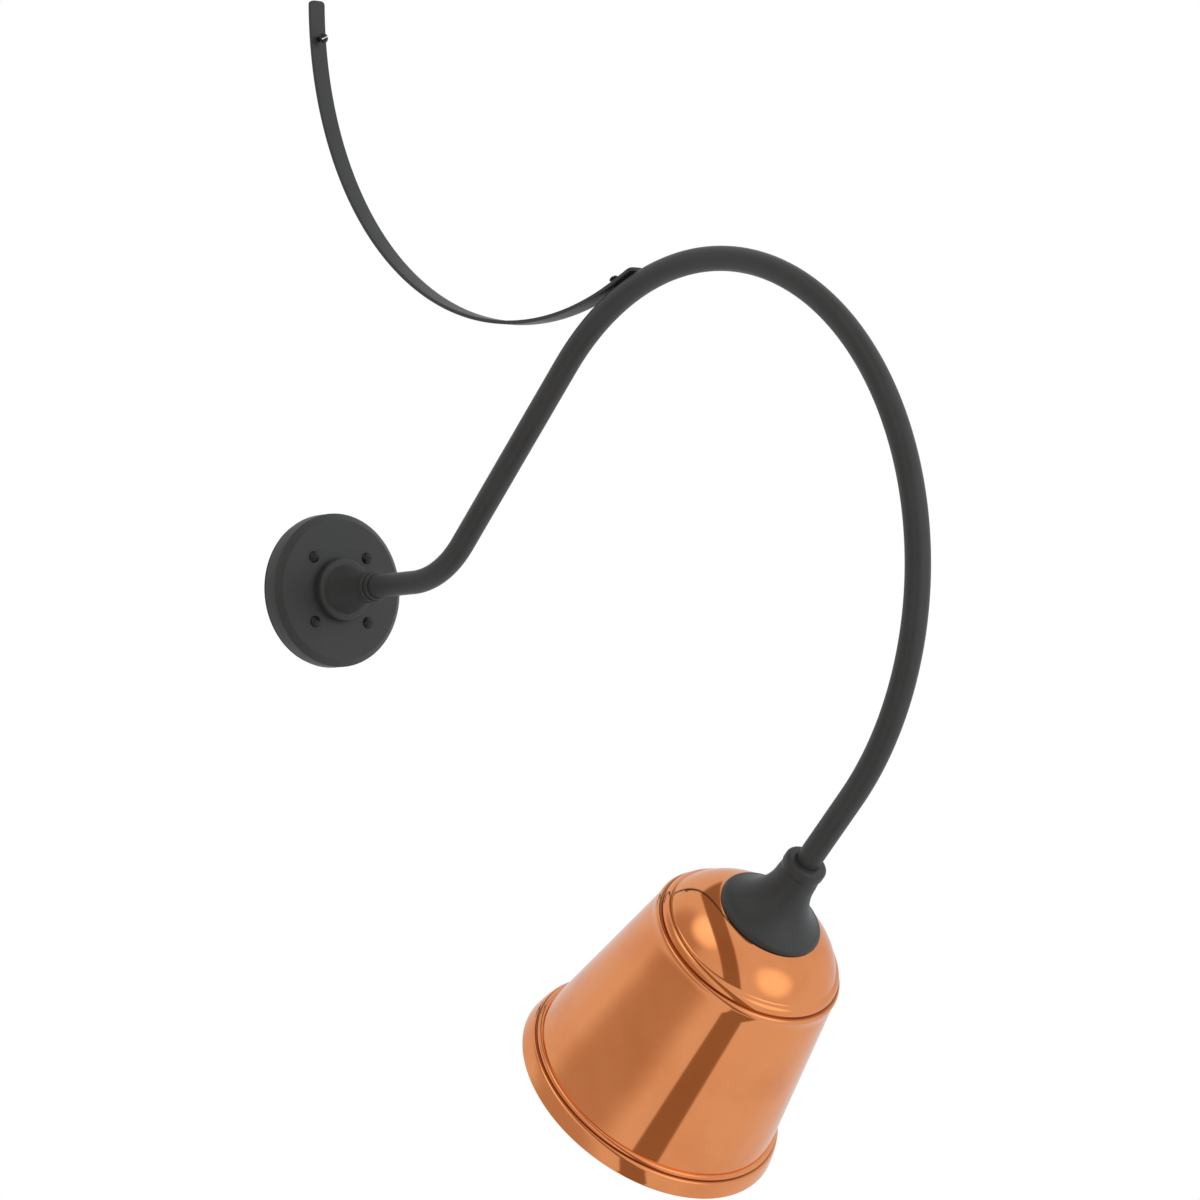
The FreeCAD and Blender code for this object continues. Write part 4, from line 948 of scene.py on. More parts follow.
@dataclass
class Assembly:
    """Pieces that ride on one body of the frame."""

    body: str
    made: list[Piece] = field(default_factory=list)
    level_slack: float = 0.03
    facing: float = 0.99

    def put(self, piece: Piece, finish: Finish, node: str) -> None:
        """Dresses a piece, lets it ride on the body and lets it stand for a CAD node.

        Args:
            piece: The new piece, in place.
            finish: Its finish.
            node: The CAD node that it stands for, which is hidden.
        """
        piece.data.materials.clear()
        piece.data.materials.append(finish.material())
        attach(piece, self.body)
        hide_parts(node)
        self.made.append(piece)
        LOG.info("%s: %d faces for %s", piece.name, len(piece.data.polygons), node)

    def keep(self, finishes: dict[str, Finish]) -> None:
        """Gives the carried-over CAD nodes of this body their finishes.

        Args:
            finishes: Finish of each node by its name.
        """
        for node, finish in finishes.items():
            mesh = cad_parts[node].data
            mesh.materials.clear()
            mesh.materials.append(finish.material())
            LOG.info("%s: CAD node kept, %s", node, finish.look.value)

    def spin(
        self,
        name: str,
        line: np.ndarray,
        finish: Finish,
        node: str,
        spot: Spot = LAMP_SPOT,
        cuts: Sequence[Piece] = (),
        joins: Sequence[Piece] = (),
        **options: object,
    ) -> None:
        """Spins a ring from a closed line, cuts it where asked and puts it on the body.

        Args:
            name: Name of the piece.
            line: Array (n, 2) of radius and level in millimetres.
            finish: Its finish.
            node: The CAD node that it stands for.
            spot: Where it stands.
            cuts: Closed meshes to take away from it.
            joins: Closed meshes to add to it first.
            **options: The sides, shape and sharp angle of PieceMaker.turn.
        """
        piece = PieceMaker.turn(name, line, spot, closed=True, **options)
        if cuts:
            PieceMaker.carve(piece, cuts, joins=joins)
        self.put(piece, finish, node)

    def round_screw(self, name: str, spot: Spot, size: RoundScrew, slot_turn: float) -> Piece:
        """A slotted round-head screw whose head stands on the spot's zero level.

        Args:
            name: Name of the piece.
            spot: Where it stands, its axis pointing out of the head.
            size: Its sizes.
            slot_turn: Turn of the slot in degrees.

        Returns:
            The screw.
        """
        radius, height = size.head
        twist = thread(size.pitch, size.groove, *size.threaded(), limit=size.shank[0] + 0.01, floor=1.4)
        screw = PieceMaker.turn(name, size.line(), spot, sides=56, shape=twist)
        slot = (radius * 3, size.slot_width, height - size.slot_depth, height + 2)
        PieceMaker.carve(screw, [PieceMaker.block(f"{name}_slot", spot.turned(slot_turn), *slot)])
        return screw

    def paint_slot_glint(self, screw: Piece, spot: Spot, level: float) -> None:
        """Bares the metal on the floor of a screw's slot, a painted highlight for the light that the
        slot catches.

        The floor is every face that looks along the spot's axis and lies at the level.

        Args:
            screw: The finished screw.
            spot: Where it stands.
            level: Level of the slot's floor on the spot's axis.
        """
        mesh = screw.data
        mesh.materials.append(SLOT_GLINT_STEEL.material())
        axis = np.array(spot.axis)
        centres, normals = np.empty((2, len(mesh.polygons) * 3))
        mesh.polygons.foreach_get("center", centres)
        mesh.polygons.foreach_get("normal", normals)
        height = (centres.reshape(-1, 3) / MM - np.array(spot.origin)) @ axis
        level_faces = np.abs(height - level) < self.level_slack
        facing = normals.reshape(-1, 3) @ axis > self.facing
        mesh.polygons.foreach_set("material_index", (level_faces & facing).astype(np.int32))

    def set_screw(self, name: str, spot: Spot, node: str) -> None:
        """Makes a headless screw with a hexagon socket, lying along +X.

        Args:
            name: Name of the piece.
            spot: Its place on the axis of the piece that it clamps.
            node: The CAD node that it stands for.
        """
        aside = Spot(spot.origin, (1.0, 0.0, 0.0), spot.axis)
        screw = PieceMaker.turn(name, np.array(GRUB_LINE), aside, sides=48)
        socket = hexagon(GRUB_SOCKET_CORNER, 0.0)
        tool = PieceMaker.turn(f"{name}_socket", np.array(GRUB_SOCKET), aside, sides=36, shape=socket)
        PieceMaker.carve(screw, [tool])
        self.put(screw, BLACK_SCREW, node)


def peg(name: str, spot: Spot, radius: float, low: float, high: float) -> Piece:
    """A round cutting or joining peg between two levels of a spot."""
    line = np.array([(0.0, low), (radius, low), (radius, high), (0.0, high)])
    return PieceMaker.turn(name, line, spot, sides=56)


def sleeve(low: float, high: float, outer: float, bore: float, step: float) -> np.ndarray:
    """The (radius, level) line of a sleeve, with rows a step apart on its outside for a thread."""
    levels = np.arange(low, high + 0.01, step)
    return np.concatenate([np.c_[np.full(len(levels), outer), levels], [(bore, high), (bore, low)]])


@dataclass
class WallMount(Assembly):
    """The round plate, its screws, and the flared hub that holds the arm."""

    body: str = "wall_mount"
    plate_line: Outline = (
        (13.95, 17.8), (56.8, 17.8, 0.8), (60.5, 14.9, 0.8), (60.5, 3.0), (63.5, 3.0, 0.5),
        (63.5, 16.4, 1.2), (58.0, 20.8, 1.2), (13.95, 20.8, 0.3),
    )
    plate_face: float = 20.8
    screw_square: float = 26.7
    screw_boss: Triple = (6.0, 2.0, 18.0)
    screw_hole: Triple = (3.3, -1.0, 22.0)
    ground_place: float = -34.0
    ground_boss: Triple = (5.0, 13.8, 18.0)
    ground_hole: Triple = (2.05, 12.0, 20.0)
    hub_foot: Outline = (
        (9.575, 16.5), (8.625, 16.5), (8.625, 12.3), (13.9, 12.3, 0.5), (13.9, 20.8), (26.0, 20.8),
        (26.0, 28.8, 5.6), (20.2, 28.8),
    )
    hub_waist: Pair = (12.4, 60.8)
    hub_flare: float = 90.0
    hub_collar: Outline = (
        (11.8, 60.8), (13.3, 60.8, 1.4), (13.3, 66.8, 1.5), (11.5, 66.8), (11.5, 71.3, 0.8),
        (9.575, 71.3),
    )
    set_screw_level: float = 50.0
    nut_line: Outline = (
        (13.95, 13.3), (18.0, 13.3), (20.0, 14.3), (20.0, 16.8), (18.0, 17.8), (13.95, 17.8),
    )
    nut_hexagon: Pair = (20.0, 14.5)

    def plate(self) -> None:
        """Spins the bevelled plate, adds the hollow bosses on its back and drills it."""
        places = [(spot, self.screw_boss, self.screw_hole) for spot in self.corners()]
        places.append((outward_wall(self.ground_place), self.ground_boss, self.ground_hole))
        joins = [peg(f"boss_{index}", spot, *boss) for index, (spot, boss, _) in enumerate(places)]
        cuts = [peg(f"hole_{index}", spot, *hole) for index, (spot, _, hole) in enumerate(places)]
        line, spot = soft_line(self.plate_line), outward_wall()
        self.spin("round_plate", line, BLACK_COAT, "wall_plate", spot, cuts, joins, sides=224)

    def corners(self) -> list[Spot]:
        """The four screw places on the plate."""
        reach = self.screw_square
        return [outward_wall(reach * a, reach * b) for a, b in ((1, 1), (-1, 1), (-1, -1), (1, -1))]

    def screws(self) -> None:
        """Makes the four plate screws, whose slots lie along X."""
        for index, spot in enumerate(self.corners()):
            stand = spot.shifted(along=self.plate_face)
            screw = self.round_screw(f"plate_screw_{index + 1}", stand, PLATE_SCREW, 0.0)
            self.put(screw, BLACK_SCREW, "plate_screws")

    def hub(self) -> None:
        """Spins the flared hub with its stop lip, spigot, ring and step, and drills its side."""
        foot, collar = soft_line(self.hub_foot, False), soft_line(self.hub_collar, False)
        flare = arc(foot[-1], self.hub_waist, -self.hub_flare, 30)
        line = np.concatenate([foot[:-1], flare, collar])
        side = Spot((0.0, -self.set_screw_level, 0.0), (1.0, 0.0, 0.0), (0.0, 0.0, 1.0))
        holes = [peg("hub_hole", side, *GRUB_HOLE)]
        self.spin("flared_hub", line, BLACK_COAT, "hub", outward_wall(), holes, sides=176)

    def nut(self) -> None:
        """Turns the hexagon nut behind the plate, with chamfered corners."""
        line, shape = soft_line(self.nut_line), hexagon(*self.nut_hexagon)
        spot = outward_wall()
        self.spin("hexagon_lock_nut", line, ZINC, "hub_lock_nut", spot, sides=180, shape=shape)

    def make(self) -> None:
        """Makes everything that stays on the wall."""
        self.plate()
        self.screws()
        self.hub()
        self.nut()
        stand = outward_wall().shifted(along=self.set_screw_level)
        self.set_screw("hub_grub_screw", stand, "hub_set_screw")
        self.keep({"wall_gasket": RUBBER, "ground_screw": GREEN_BRASS, "ground_wire": GREEN_WIRE})


@dataclass(frozen=True)
class Path:
    """A line in the arm's plane, of (out from the wall, up) places with its own directions."""

    places: np.ndarray

    def frames(self) -> tuple[np.ndarray, np.ndarray, np.ndarray]:
        """Places, side directions in the plane and distances along the line.

        The side direction is the average direction of the two neighbouring pieces, turned by a
        right angle.

        Returns:
            Places (n, 2), side directions (n, 2) and distances (n,).
        """
        steps = np.diff(self.places, axis=0)
        lengths = np.linalg.norm(steps, axis=1)
        ways = steps / lengths[:, None]
        tangents = np.vstack([ways[:1], ways[:-1] + ways[1:], ways[-1:]])
        tangents /= np.linalg.norm(tangents, axis=1)[:, None]
        sides = np.stack([-tangents[:, 1], tangents[:, 0]], 1)
        return self.places, sides, np.concatenate([[0.0], np.cumsum(lengths)])

    @staticmethod
    def joined(pieces: Sequence[np.ndarray], apart: float = 1e-3) -> "Path":
        """A path from stretches that meet.

        Args:
            pieces: The stretches, each an array of places.
            apart: Distance in millimetres up to which two places count as one.

        Returns:
            The path, with doubled places dropped.
        """
        line = np.concatenate(pieces)
        fresh = np.linalg.norm(np.diff(line, axis=0), axis=1) > apart
        return Path(line[np.concatenate([[True], fresh])])

    @staticmethod
    def straight(start: Sequence[float], stop: Sequence[float], count: int) -> np.ndarray:
        """Evenly spaced places between two ends."""
        return np.linspace(np.asarray(start, float), np.asarray(stop, float), count)

    @staticmethod
    def swing(centre: Pair, radius: float, start: float, stop: float, count: int) -> np.ndarray:
        """Places on an arc about a centre, from one angle in degrees to another."""
        angles = np.radians(np.linspace(start, stop, count))
        return np.asarray(centre, float) + radius * np.stack([np.cos(angles), np.sin(angles)], 1)

    @staticmethod
    def sweep(places: np.ndarray, sides: np.ndarray, section: np.ndarray) -> np.ndarray:
        """Carries a section along the path.

        A point of the surface is the path's place plus the section's first part along X and its
        second part along the side direction, with out from the wall being -Y.

        Args:
            places: Places (n, 2) in millimetres.
            sides: Side directions (n, 2).
            section: Sections (n, k, 2) in millimetres.

        Returns:
            Points (n, k, 3) in metres.
        """
        out = places[:, None, 0] + sides[:, None, 0] * section[..., 1]
        up = places[:, None, 1] + sides[:, None, 1] * section[..., 1]
        return np.stack([section[..., 0], -out, up], -1) * MM


@dataclass
class Arm(Assembly):
    """The gooseneck tube with its end fittings and the screw that takes the brace."""

    body: str = "arm"
    outer: float = 9.525
    inner: float = 7.925
    start_out: float = 16.6
    end_ease: float = 0.35
    bend_start: Pair = (120.0, 0.0)
    bend_centre: Pair = (120.0, 96.0)
    bend_radius: float = 96.0
    bend_stop_angle: float = -46.502
    crook_centre: Pair = (485.285, -14.363)
    crook_radius: float = 235.5
    crook_angles: Pair = (133.498, -47.901)
    tail: float = 91.0
    brace_place: Pair = (387.341, 212.460)
    brace_normal: Triple = (0.0, 0.340503, 0.940244)
    brace_hole: Triple = (3.6, -8.0, 2.0)
    brace_screw_rise: float = 5.3
    brace_screw_slot: float = 35.0

    def path(self) -> Path:
        """The tube's middle line: straight, bend, straight, crook and straight tail.

        Returns:
            The path, from the wall to the lamp.
        """
        bend = Path.swing(self.bend_centre, self.bend_radius, -90.0, self.bend_stop_angle, 36)
        crook = Path.swing(self.crook_centre, self.crook_radius, *self.crook_angles, 170)
        way = np.array([-LAMP_AXIS[1], LAMP_AXIS[2]])
        return Path.joined(
            [
                Path.straight((self.start_out, 0.0), self.bend_start, 12),
                bend,
                Path.straight(bend[-1], crook[0], 20),
                crook,
                Path.straight(crook[-1], crook[-1] + way * self.tail, 10),
            ]
        )

    def tube(self) -> None:
        """Sweeps the tube's outside out and its inside back, with eased ends, and drills it."""
        places, sides, _ = self.path().frames()
        rounds = np.arange(96) * math.tau / 96
        circle = np.stack([np.cos(rounds), np.sin(rounds)], 1)
        count = len(places)
        order = np.r_[0, 0:count, count - 1, count - 1 : -1 : -1]
        radii = np.r_[[self.outer] * (count + 2), [self.inner] * count]
        radii[[0, count + 1]] -= self.end_ease
        grid = Path.sweep(places[order], sides[order], circle[None] * radii[:, None, None])
        grid[1] += unit(grid[2].mean(0) - grid[1].mean(0)) * self.end_ease * MM
        tube = PieceMaker.build("gooseneck_tube", grid, True)
        PieceMaker.carve(tube, [peg("insert_hole", self.brace_spot(), *self.brace_hole)])
        self.put(tube, BLACK_COAT, "arm_tube")

    def brace_spot(self, rise: float = 0.0) -> Spot:
        """The place on the brace where its lower screw goes through, risen along the screw."""
        place = (0.0, -self.brace_place[0], self.brace_place[1])
        return Spot(place, self.brace_normal).shifted(along=rise)

    def make(self) -> None:
        """Makes the tube and the brace's lower screw."""
        self.tube()
        stand = self.brace_spot(self.brace_screw_rise)
        screw = self.round_screw("brace_lower_screw", stand, ARM_SCREW, self.brace_screw_slot)
        self.put(screw, BLACK_SCREW, "strap_arm_screw")
        self.keep({"wall_end_bushing": NYLON, "strap_insert": ZINC})


@dataclass
class Brace(Assembly):
    """The curved flat bar between the arm and the wall, and its wall screw."""

    body: str = "brace"
    width: float = 15.0
    thick: float = 3.0
    end_round: float = 3.5
    edge_round: float = 0.5
    bow_centre: Pair = (289.333, 483.092)
    bow_radius: float = 287.833
    top: float = 492.592
    lean: float = 21.5
    toe: float = 19.5
    wall_hole_up: float = 460.192
    wall_hole: Triple = (2.35, -3.0, 8.0)
    arm_hole: Triple = (2.6, -5.0, 5.0)
    wall_screw_out: float = 10.7
    wall_screw_slot: float = 25.0
    lower: Spot = field(default_factory=lambda: Arm().brace_spot())

    def path(self) -> Path:
        """The bar's middle line.

        Returns:
            The path, from the bar's top end on the wall to its toe on the arm.
        """
        bow = Path.swing(self.bow_centre, self.bow_radius, 180.0, 270.0 + self.lean, 110)
        bow[:, 0] = np.maximum(bow[:, 0], self.thick / 2)
        slope = math.radians(self.lean)
        ease = np.concatenate([np.linspace(0, self.end_round, 9), [self.end_round + 1.0]])
        head = np.stack([np.full(len(ease), self.thick / 2), self.top - ease], 1)
        way = np.array([math.cos(slope), math.sin(slope)])
        foot = bow[-1] + way * (self.toe - ease[::-1, None])
        return Path.joined([head, bow, foot])

    def bar(self) -> None:
        """Sweeps the bar's rounded section, with its plan corners rounded, and drills both ends.

        Within the rounding's reach of an end, half the width falls by the rounding less the root
        of its square less the square of what is missing to it.
        """
        places, sides, along = self.path().frames()
        half, flat = self.width / 2, self.thick / 2
        corners = ((-half, -flat), (half, -flat), (half, flat), (-half, flat))
        section = soft_line([(*corner, self.edge_round) for corner in corners], steps=4)
        near = np.minimum(along, along[-1] - along)
        missing = np.clip(self.end_round - near, 0.0, self.end_round)
        narrow = self.end_round - np.sqrt(self.end_round**2 - missing**2)
        rows = np.repeat(section[None], len(places), 0)
        rows[..., 0] -= np.sign(rows[..., 0]) * narrow[:, None]
        first, last, ease = rows[:1], rows[-1:], (0.99, 0.8)
        rows = np.concatenate([first * 0, first * ease, rows, last * ease, last * 0])
        order = np.r_[0, 0, np.arange(len(places)), [len(places) - 1] * 2]
        grid = Path.sweep(places[order], sides[order], rows)
        bar = PieceMaker.build("curved_brace_bar", grid, False)
        wall_hole = peg("wall_hole", outward_wall(0.0, self.wall_hole_up), *self.wall_hole)
        PieceMaker.carve(bar, [wall_hole, peg("arm_hole", self.lower, *self.arm_hole)])
        self.put(bar, BLACK_COAT, "strap")

    def make(self) -> None:
        """Makes the bar and its wall screw, which stands proud of it."""
        self.bar()
        stand = outward_wall(0.0, self.wall_hole_up).shifted(along=self.wall_screw_out)
        screw = self.round_screw("brace_wall_screw", stand, WALL_SCREW, self.wall_screw_slot)
        self.put(screw, BLACK_SCREW, "strap_wall_screw")
        # Bright bare steel on the slot floor: a painted highlight for the light caught in the slot.
        self.paint_slot_glint(screw, stand, WALL_SCREW.head[1] - WALL_SCREW.slot_depth)


@dataclass
class LampHead(Assembly):
    """The bell-shaped fitter, the copper shade and the lamp holder inside it."""

    body: str = "arm"
    copper: float = 1.2
    crown: Triple = (14.0, 23.7, 122.8)
    dome_curve: float = 51.5
    dome_end: Pair = (68.6, 149.08)
    groove: Pair = (73.3, 156.68)
    cone_start: Pair = (76.5, 161.48)
    cone_end: Pair = (99.0, 302.38)
    foot_groove: Pair = (101.5, 306.68)
    skirt_top: Pair = (104.9, 309.28)
    mouth: Pair = (107.5, 320.38)
    hem: float = 2.4
    hem_reach: float = 3.0
    hem_roll: Outline = ((2.45, 1.6), (2.0, 2.4), (1.6, 2.6))
    fitter_collar: Outline = (
        (7.0, 92.0), (9.575, 92.0), (9.575, 66.5, 0.4), (16.7, 66.5, 3.0), (16.7, 74.0, 0.8),
        (15.9, 77.0, 1.5), (16.6, 84.0),
    )
    bell_end: Pair = (37.5, 119.5)
    bell_curve: float = 40.6
    fitter_rim: Pair = (41.0, 123.34)
    rim_curve: float = 4.6
    fitter_inside: Outline = (
        (41.0, 124.94), (38.5, 124.3), (35.6, 123.37), (30.0, 116.9), (20.0, 107.5), (11.0, 106.0),
        (4.95, 106.0), (4.95, 95.0), (7.0, 95.0),
    )
    set_screw_level: float = 80.5
    nipple: Pair = (96.0, 136.4)
    nipple_radii: Pair = (4.9, 3.6)
    nipple_thread: Pair = (0.95, 0.22)
    shade_nut_line: Outline = (
        (4.95, 126.0), (8.1, 126.0), (9.0, 126.6), (9.0, 129.9), (8.1, 130.5), (4.95, 130.5),
    )
    shade_nut_hexagon: Pair = (9.0, 5.5)
    holder_outside: Outline = (
        (4.95, 130.8), (14.0, 130.8, 0.8), (17.0, 133.8, 1.5), (17.0, 145.8, 2.0),
        (21.0, 151.8, 2.5), (21.0, 177.3, 0.8), (19.5, 178.8, 0.8), (13.95, 178.8, 0.3),
        (13.95, 147.8),
    )
    holder_inside: Outline = ((0.0, 147.8), (0.0, 143.8), (13.0, 143.8), (13.0, 133.8), (4.95, 133.8))
    terminal_place: float = 9.4
    terminal_hole: Triple = (2.1, 142.0, 149.0)
    cap_line: Outline = (
        (1.15, 0.0), (5.2, 0.0, 0.5), (5.2, 7.0), (4.3, 14.0), (3.4, 19.0, 1.5), (0.0, 19.0),
        (0.0, 15.0), (1.15, 15.0),
    )
    cap_place: Triple = (6.5, -9.9, -24.0)

    @staticmethod
    def bulge(start: Sequence[float], stop: Sequence[float], share: float, steps: int) -> np.ndarray:
        """An arc on the outside of two places, its radius a share of their distance."""
        return arc(start, stop, math.dist(start, stop) * share, steps)

    def outside(self) -> np.ndarray:
        """The shade's outer line from its crown hole to its mouth.

        Returns:
            Array of (radius, level).
        """
        hole, flat, level = self.crown
        return np.concatenate(
            [
                [(hole, level)],
                arc((flat, level), self.dome_end, self.dome_curve, 40),
                self.bulge(self.dome_end, self.groove, 0.69, 14),
                self.bulge(self.groove, self.cone_start, 0.545, 12),
                Path.straight(self.cone_start, self.cone_end, 24),
                self.bulge(self.cone_end, self.foot_groove, 0.537, 12),
                self.bulge(self.foot_groove, self.skirt_top, 0.76, 10),
                self.bulge(self.skirt_top, self.mouth, 5.3, 10),
            ]
        )

    def shade(self) -> None:
        """Spins the copper shade: an outer skin, an inner skin one sheet inside it and a hem."""
        outer, inward, _ = Path.joined([self.outside()], 1e-4).frames()
        inner = (outer + inward * self.copper)[outer[:, 1] < self.mouth[1] - self.hem_reach][::-1]
        inner[-1, 0] = self.crown[0]
        wide, end = self.mouth
        fold = end - self.hem / 4
        hem = arc((wide, fold), (wide - self.hem, fold), self.hem / 2 * 1.001, 14)
        hem[:, 1] = np.minimum(hem[:, 1], end)
        roll = np.array(self.mouth) - self.hem_roll
        line = np.concatenate([outer[:-1], hem, roll, inner])
        self.spin("spun_copper_shade", line, COPPER, "shade", sides=256, sharp=50.0)

    def fitter(self) -> None:
        """Spins the bell-shaped fitter: collar, waist, concave bell and rounded rim."""
        collar = soft_line(self.fitter_collar, False)
        bell = arc(collar[-1], self.bell_end, -self.bell_curve, 34)
        rim = arc(self.bell_end, self.fitter_rim, self.rim_curve, 12)
        line = np.concatenate([collar[:-1], bell, rim[1:], self.fitter_inside])
        middle = LAMP_SPOT.shifted(along=self.set_screw_level)
        side = Spot(middle.origin, (1.0, 0.0, 0.0), LAMP_AXIS)
        holes = [peg("fitter_hole", side, *GRUB_HOLE)]
        self.spin("bell_fitter", line, BLACK_COAT, "fitter", cuts=holes, sides=200)

    def fixings(self) -> None:
        """Makes the threaded nipple and the hexagon nut that clamp the shade."""
        twist = thread(*self.nipple_thread, *self.nipple, limit=6.0, floor=4.0)
        line = sleeve(*self.nipple, *self.nipple_radii, 0.2)
        self.spin("threaded_nipple", line, ZINC, "lamp_nipple", sides=48, shape=twist)
        line, shape = soft_line(self.shade_nut_line), hexagon(*self.shade_nut_hexagon)
        self.spin("hexagon_shade_nut", line, BRASS, "shade_nut", sides=120, shape=shape)

    def holder(self) -> None:
        """Turns the glazed lamp holder with its shoulder, bore and wiring chamber."""
        line = np.concatenate([soft_line(self.holder_outside, False), self.holder_inside])
        drills = [
            peg(f"drill_{side}", LAMP_SPOT.shifted(across=side), *self.terminal_hole)
            for side in (-self.terminal_place, self.terminal_place)
        ]
        self.spin("porcelain_holder", line, PORCELAIN, "lamp_holder", cuts=drills, sides=128)

    def caps(self) -> None:
        """Turns the two ribbed wire caps, which point down behind the plate."""
        line, shape = soft_line(self.cap_line), ribs(12, 0.35, 1.0, 15.0)
        pairs = zip(line, np.roll(line, -1, 0))
        line = np.concatenate([Path.straight(a, b, 7)[:-1] for a, b in pairs])
        across, *rest = self.cap_place
        for index, side in enumerate((-across, across)):
            spot = Spot((side, *rest), (0.0, 0.0, -1.0))
            name = f"wire_cap_{index + 1}"
            self.spin(name, line, CAP, "wire_connectors", spot, sides=96, shape=shape)

    def make(self) -> None:
        """Makes the lamp end of the arm."""
        self.shade()
        self.fitter()
        self.fixings()
        self.holder()
        self.caps()
        stand = LAMP_SPOT.shifted(along=self.set_screw_level)
        self.set_screw("fitter_grub_screw", stand, "fitter_set_screw")
        self.keep(
            {
                "shade_gasket": RUBBER,
                "shade_washer": ZINC,
                "lamp_holder_shell": BRASS,
                "centre_contact": BRASS,
                "terminal_screws": BRASS,
                "line_wire": BLACK_WIRE,
                "neutral_wire": WHITE_WIRE,
            }
        )


@dataclass
class Lamp(Assembly):
    """The clear filament lamp."""

    body: str = "bulb"
    ball: Pair = (30.0, 227.0)
    waist: float = 50.54
    neck: Triple = (12.6, 164.8, 177.0)
    join: Pair = (23.52, 208.38)
    wall: float = 1.0
    base_levels: Pair = (154.8, 176.8)
    base_radii: Pair = (13.05, 12.65)
    base_thread: tuple[float, ...] = (3.63, 0.14, 155.5, 172.0)

    def glass(self) -> None:
        """Turns the blown glass: neck, waist and ball outside, and the same one wall inside."""
        (radius, centre), (neck, low, shoulder) = self.ball, self.neck
        start = math.degrees(math.atan2(self.join[1] - centre, self.join[0]))
        waist = arc((neck, shoulder), self.join, -self.waist, 24)
        outer_ball = Path.swing((0.0, centre), radius, start, 90.0, 60)[1:]
        inner_ball = Path.swing((0.0, centre), radius - self.wall, 90.0, start, 60)
        outer_ball[-1, 0] = inner_ball[0, 0] = 0.0
        inner_waist = waist[::-1][1:] - (self.wall, 0.0)
        line = np.concatenate(
            [[(neck, low)], waist, outer_ball, inner_ball, inner_waist, [(neck - self.wall, low)]]
        )
        self.spin("blown_glass", line, GLASS, "bulb_glass", sides=144, sharp=60.0)

    def base(self) -> None:
        """Turns the screw base, whose rolled thread shows on its outside."""
        twist = thread(*self.base_thread, limit=14.0, floor=12.9)
        line = sleeve(*self.base_levels, *self.base_radii, 0.25)
        self.spin("screw_base", line, BASE_METAL, "bulb_base", sides=128, shape=twist)

    def make(self) -> None:
        """Makes the lamp."""
        self.glass()
        self.base()
        glass_parts = {"bulb_insulator": BLACK_GLASS, "bulb_stem": STEM_GLASS}
        self.keep({"bulb_tip": SOLDER, **glass_parts, "bulb_filaments": PHOSPHOR})


# ---------------------------------------------------------------- the studio


@dataclass(frozen=True)
class Lamplight:
    """A soft area light that looks at the middle of the object."""

    name: str
    place: Triple
    size: float
    power: float

    def make(self, target: Vector) -> None:
        """Adds the light.

        Args:
            target: The place it looks at.
        """
        data = bpy.data.lights.new(self.name, "AREA")
        data.shape = "DISK"
        data.size = self.size
        data.energy = self.power
        light = bpy.data.objects.new(self.name, data)
        light.location = self.place
        light.rotation_mode = "QUATERNION"
        light.rotation_quaternion = (target - Vector(self.place)).to_track_quat("-Z", "Y")
        light.visible_glossy = False
        bpy.context.scene.collection.objects.link(light)


@dataclass(frozen=True)
class Patch:
    """A soft round patch of another tone in the surroundings.

    Its tone is full where the cosine to its middle reaches inner, and gone below outer.
    """

    toward: Triple
    inner: float
    outer: float
    colour: Colour


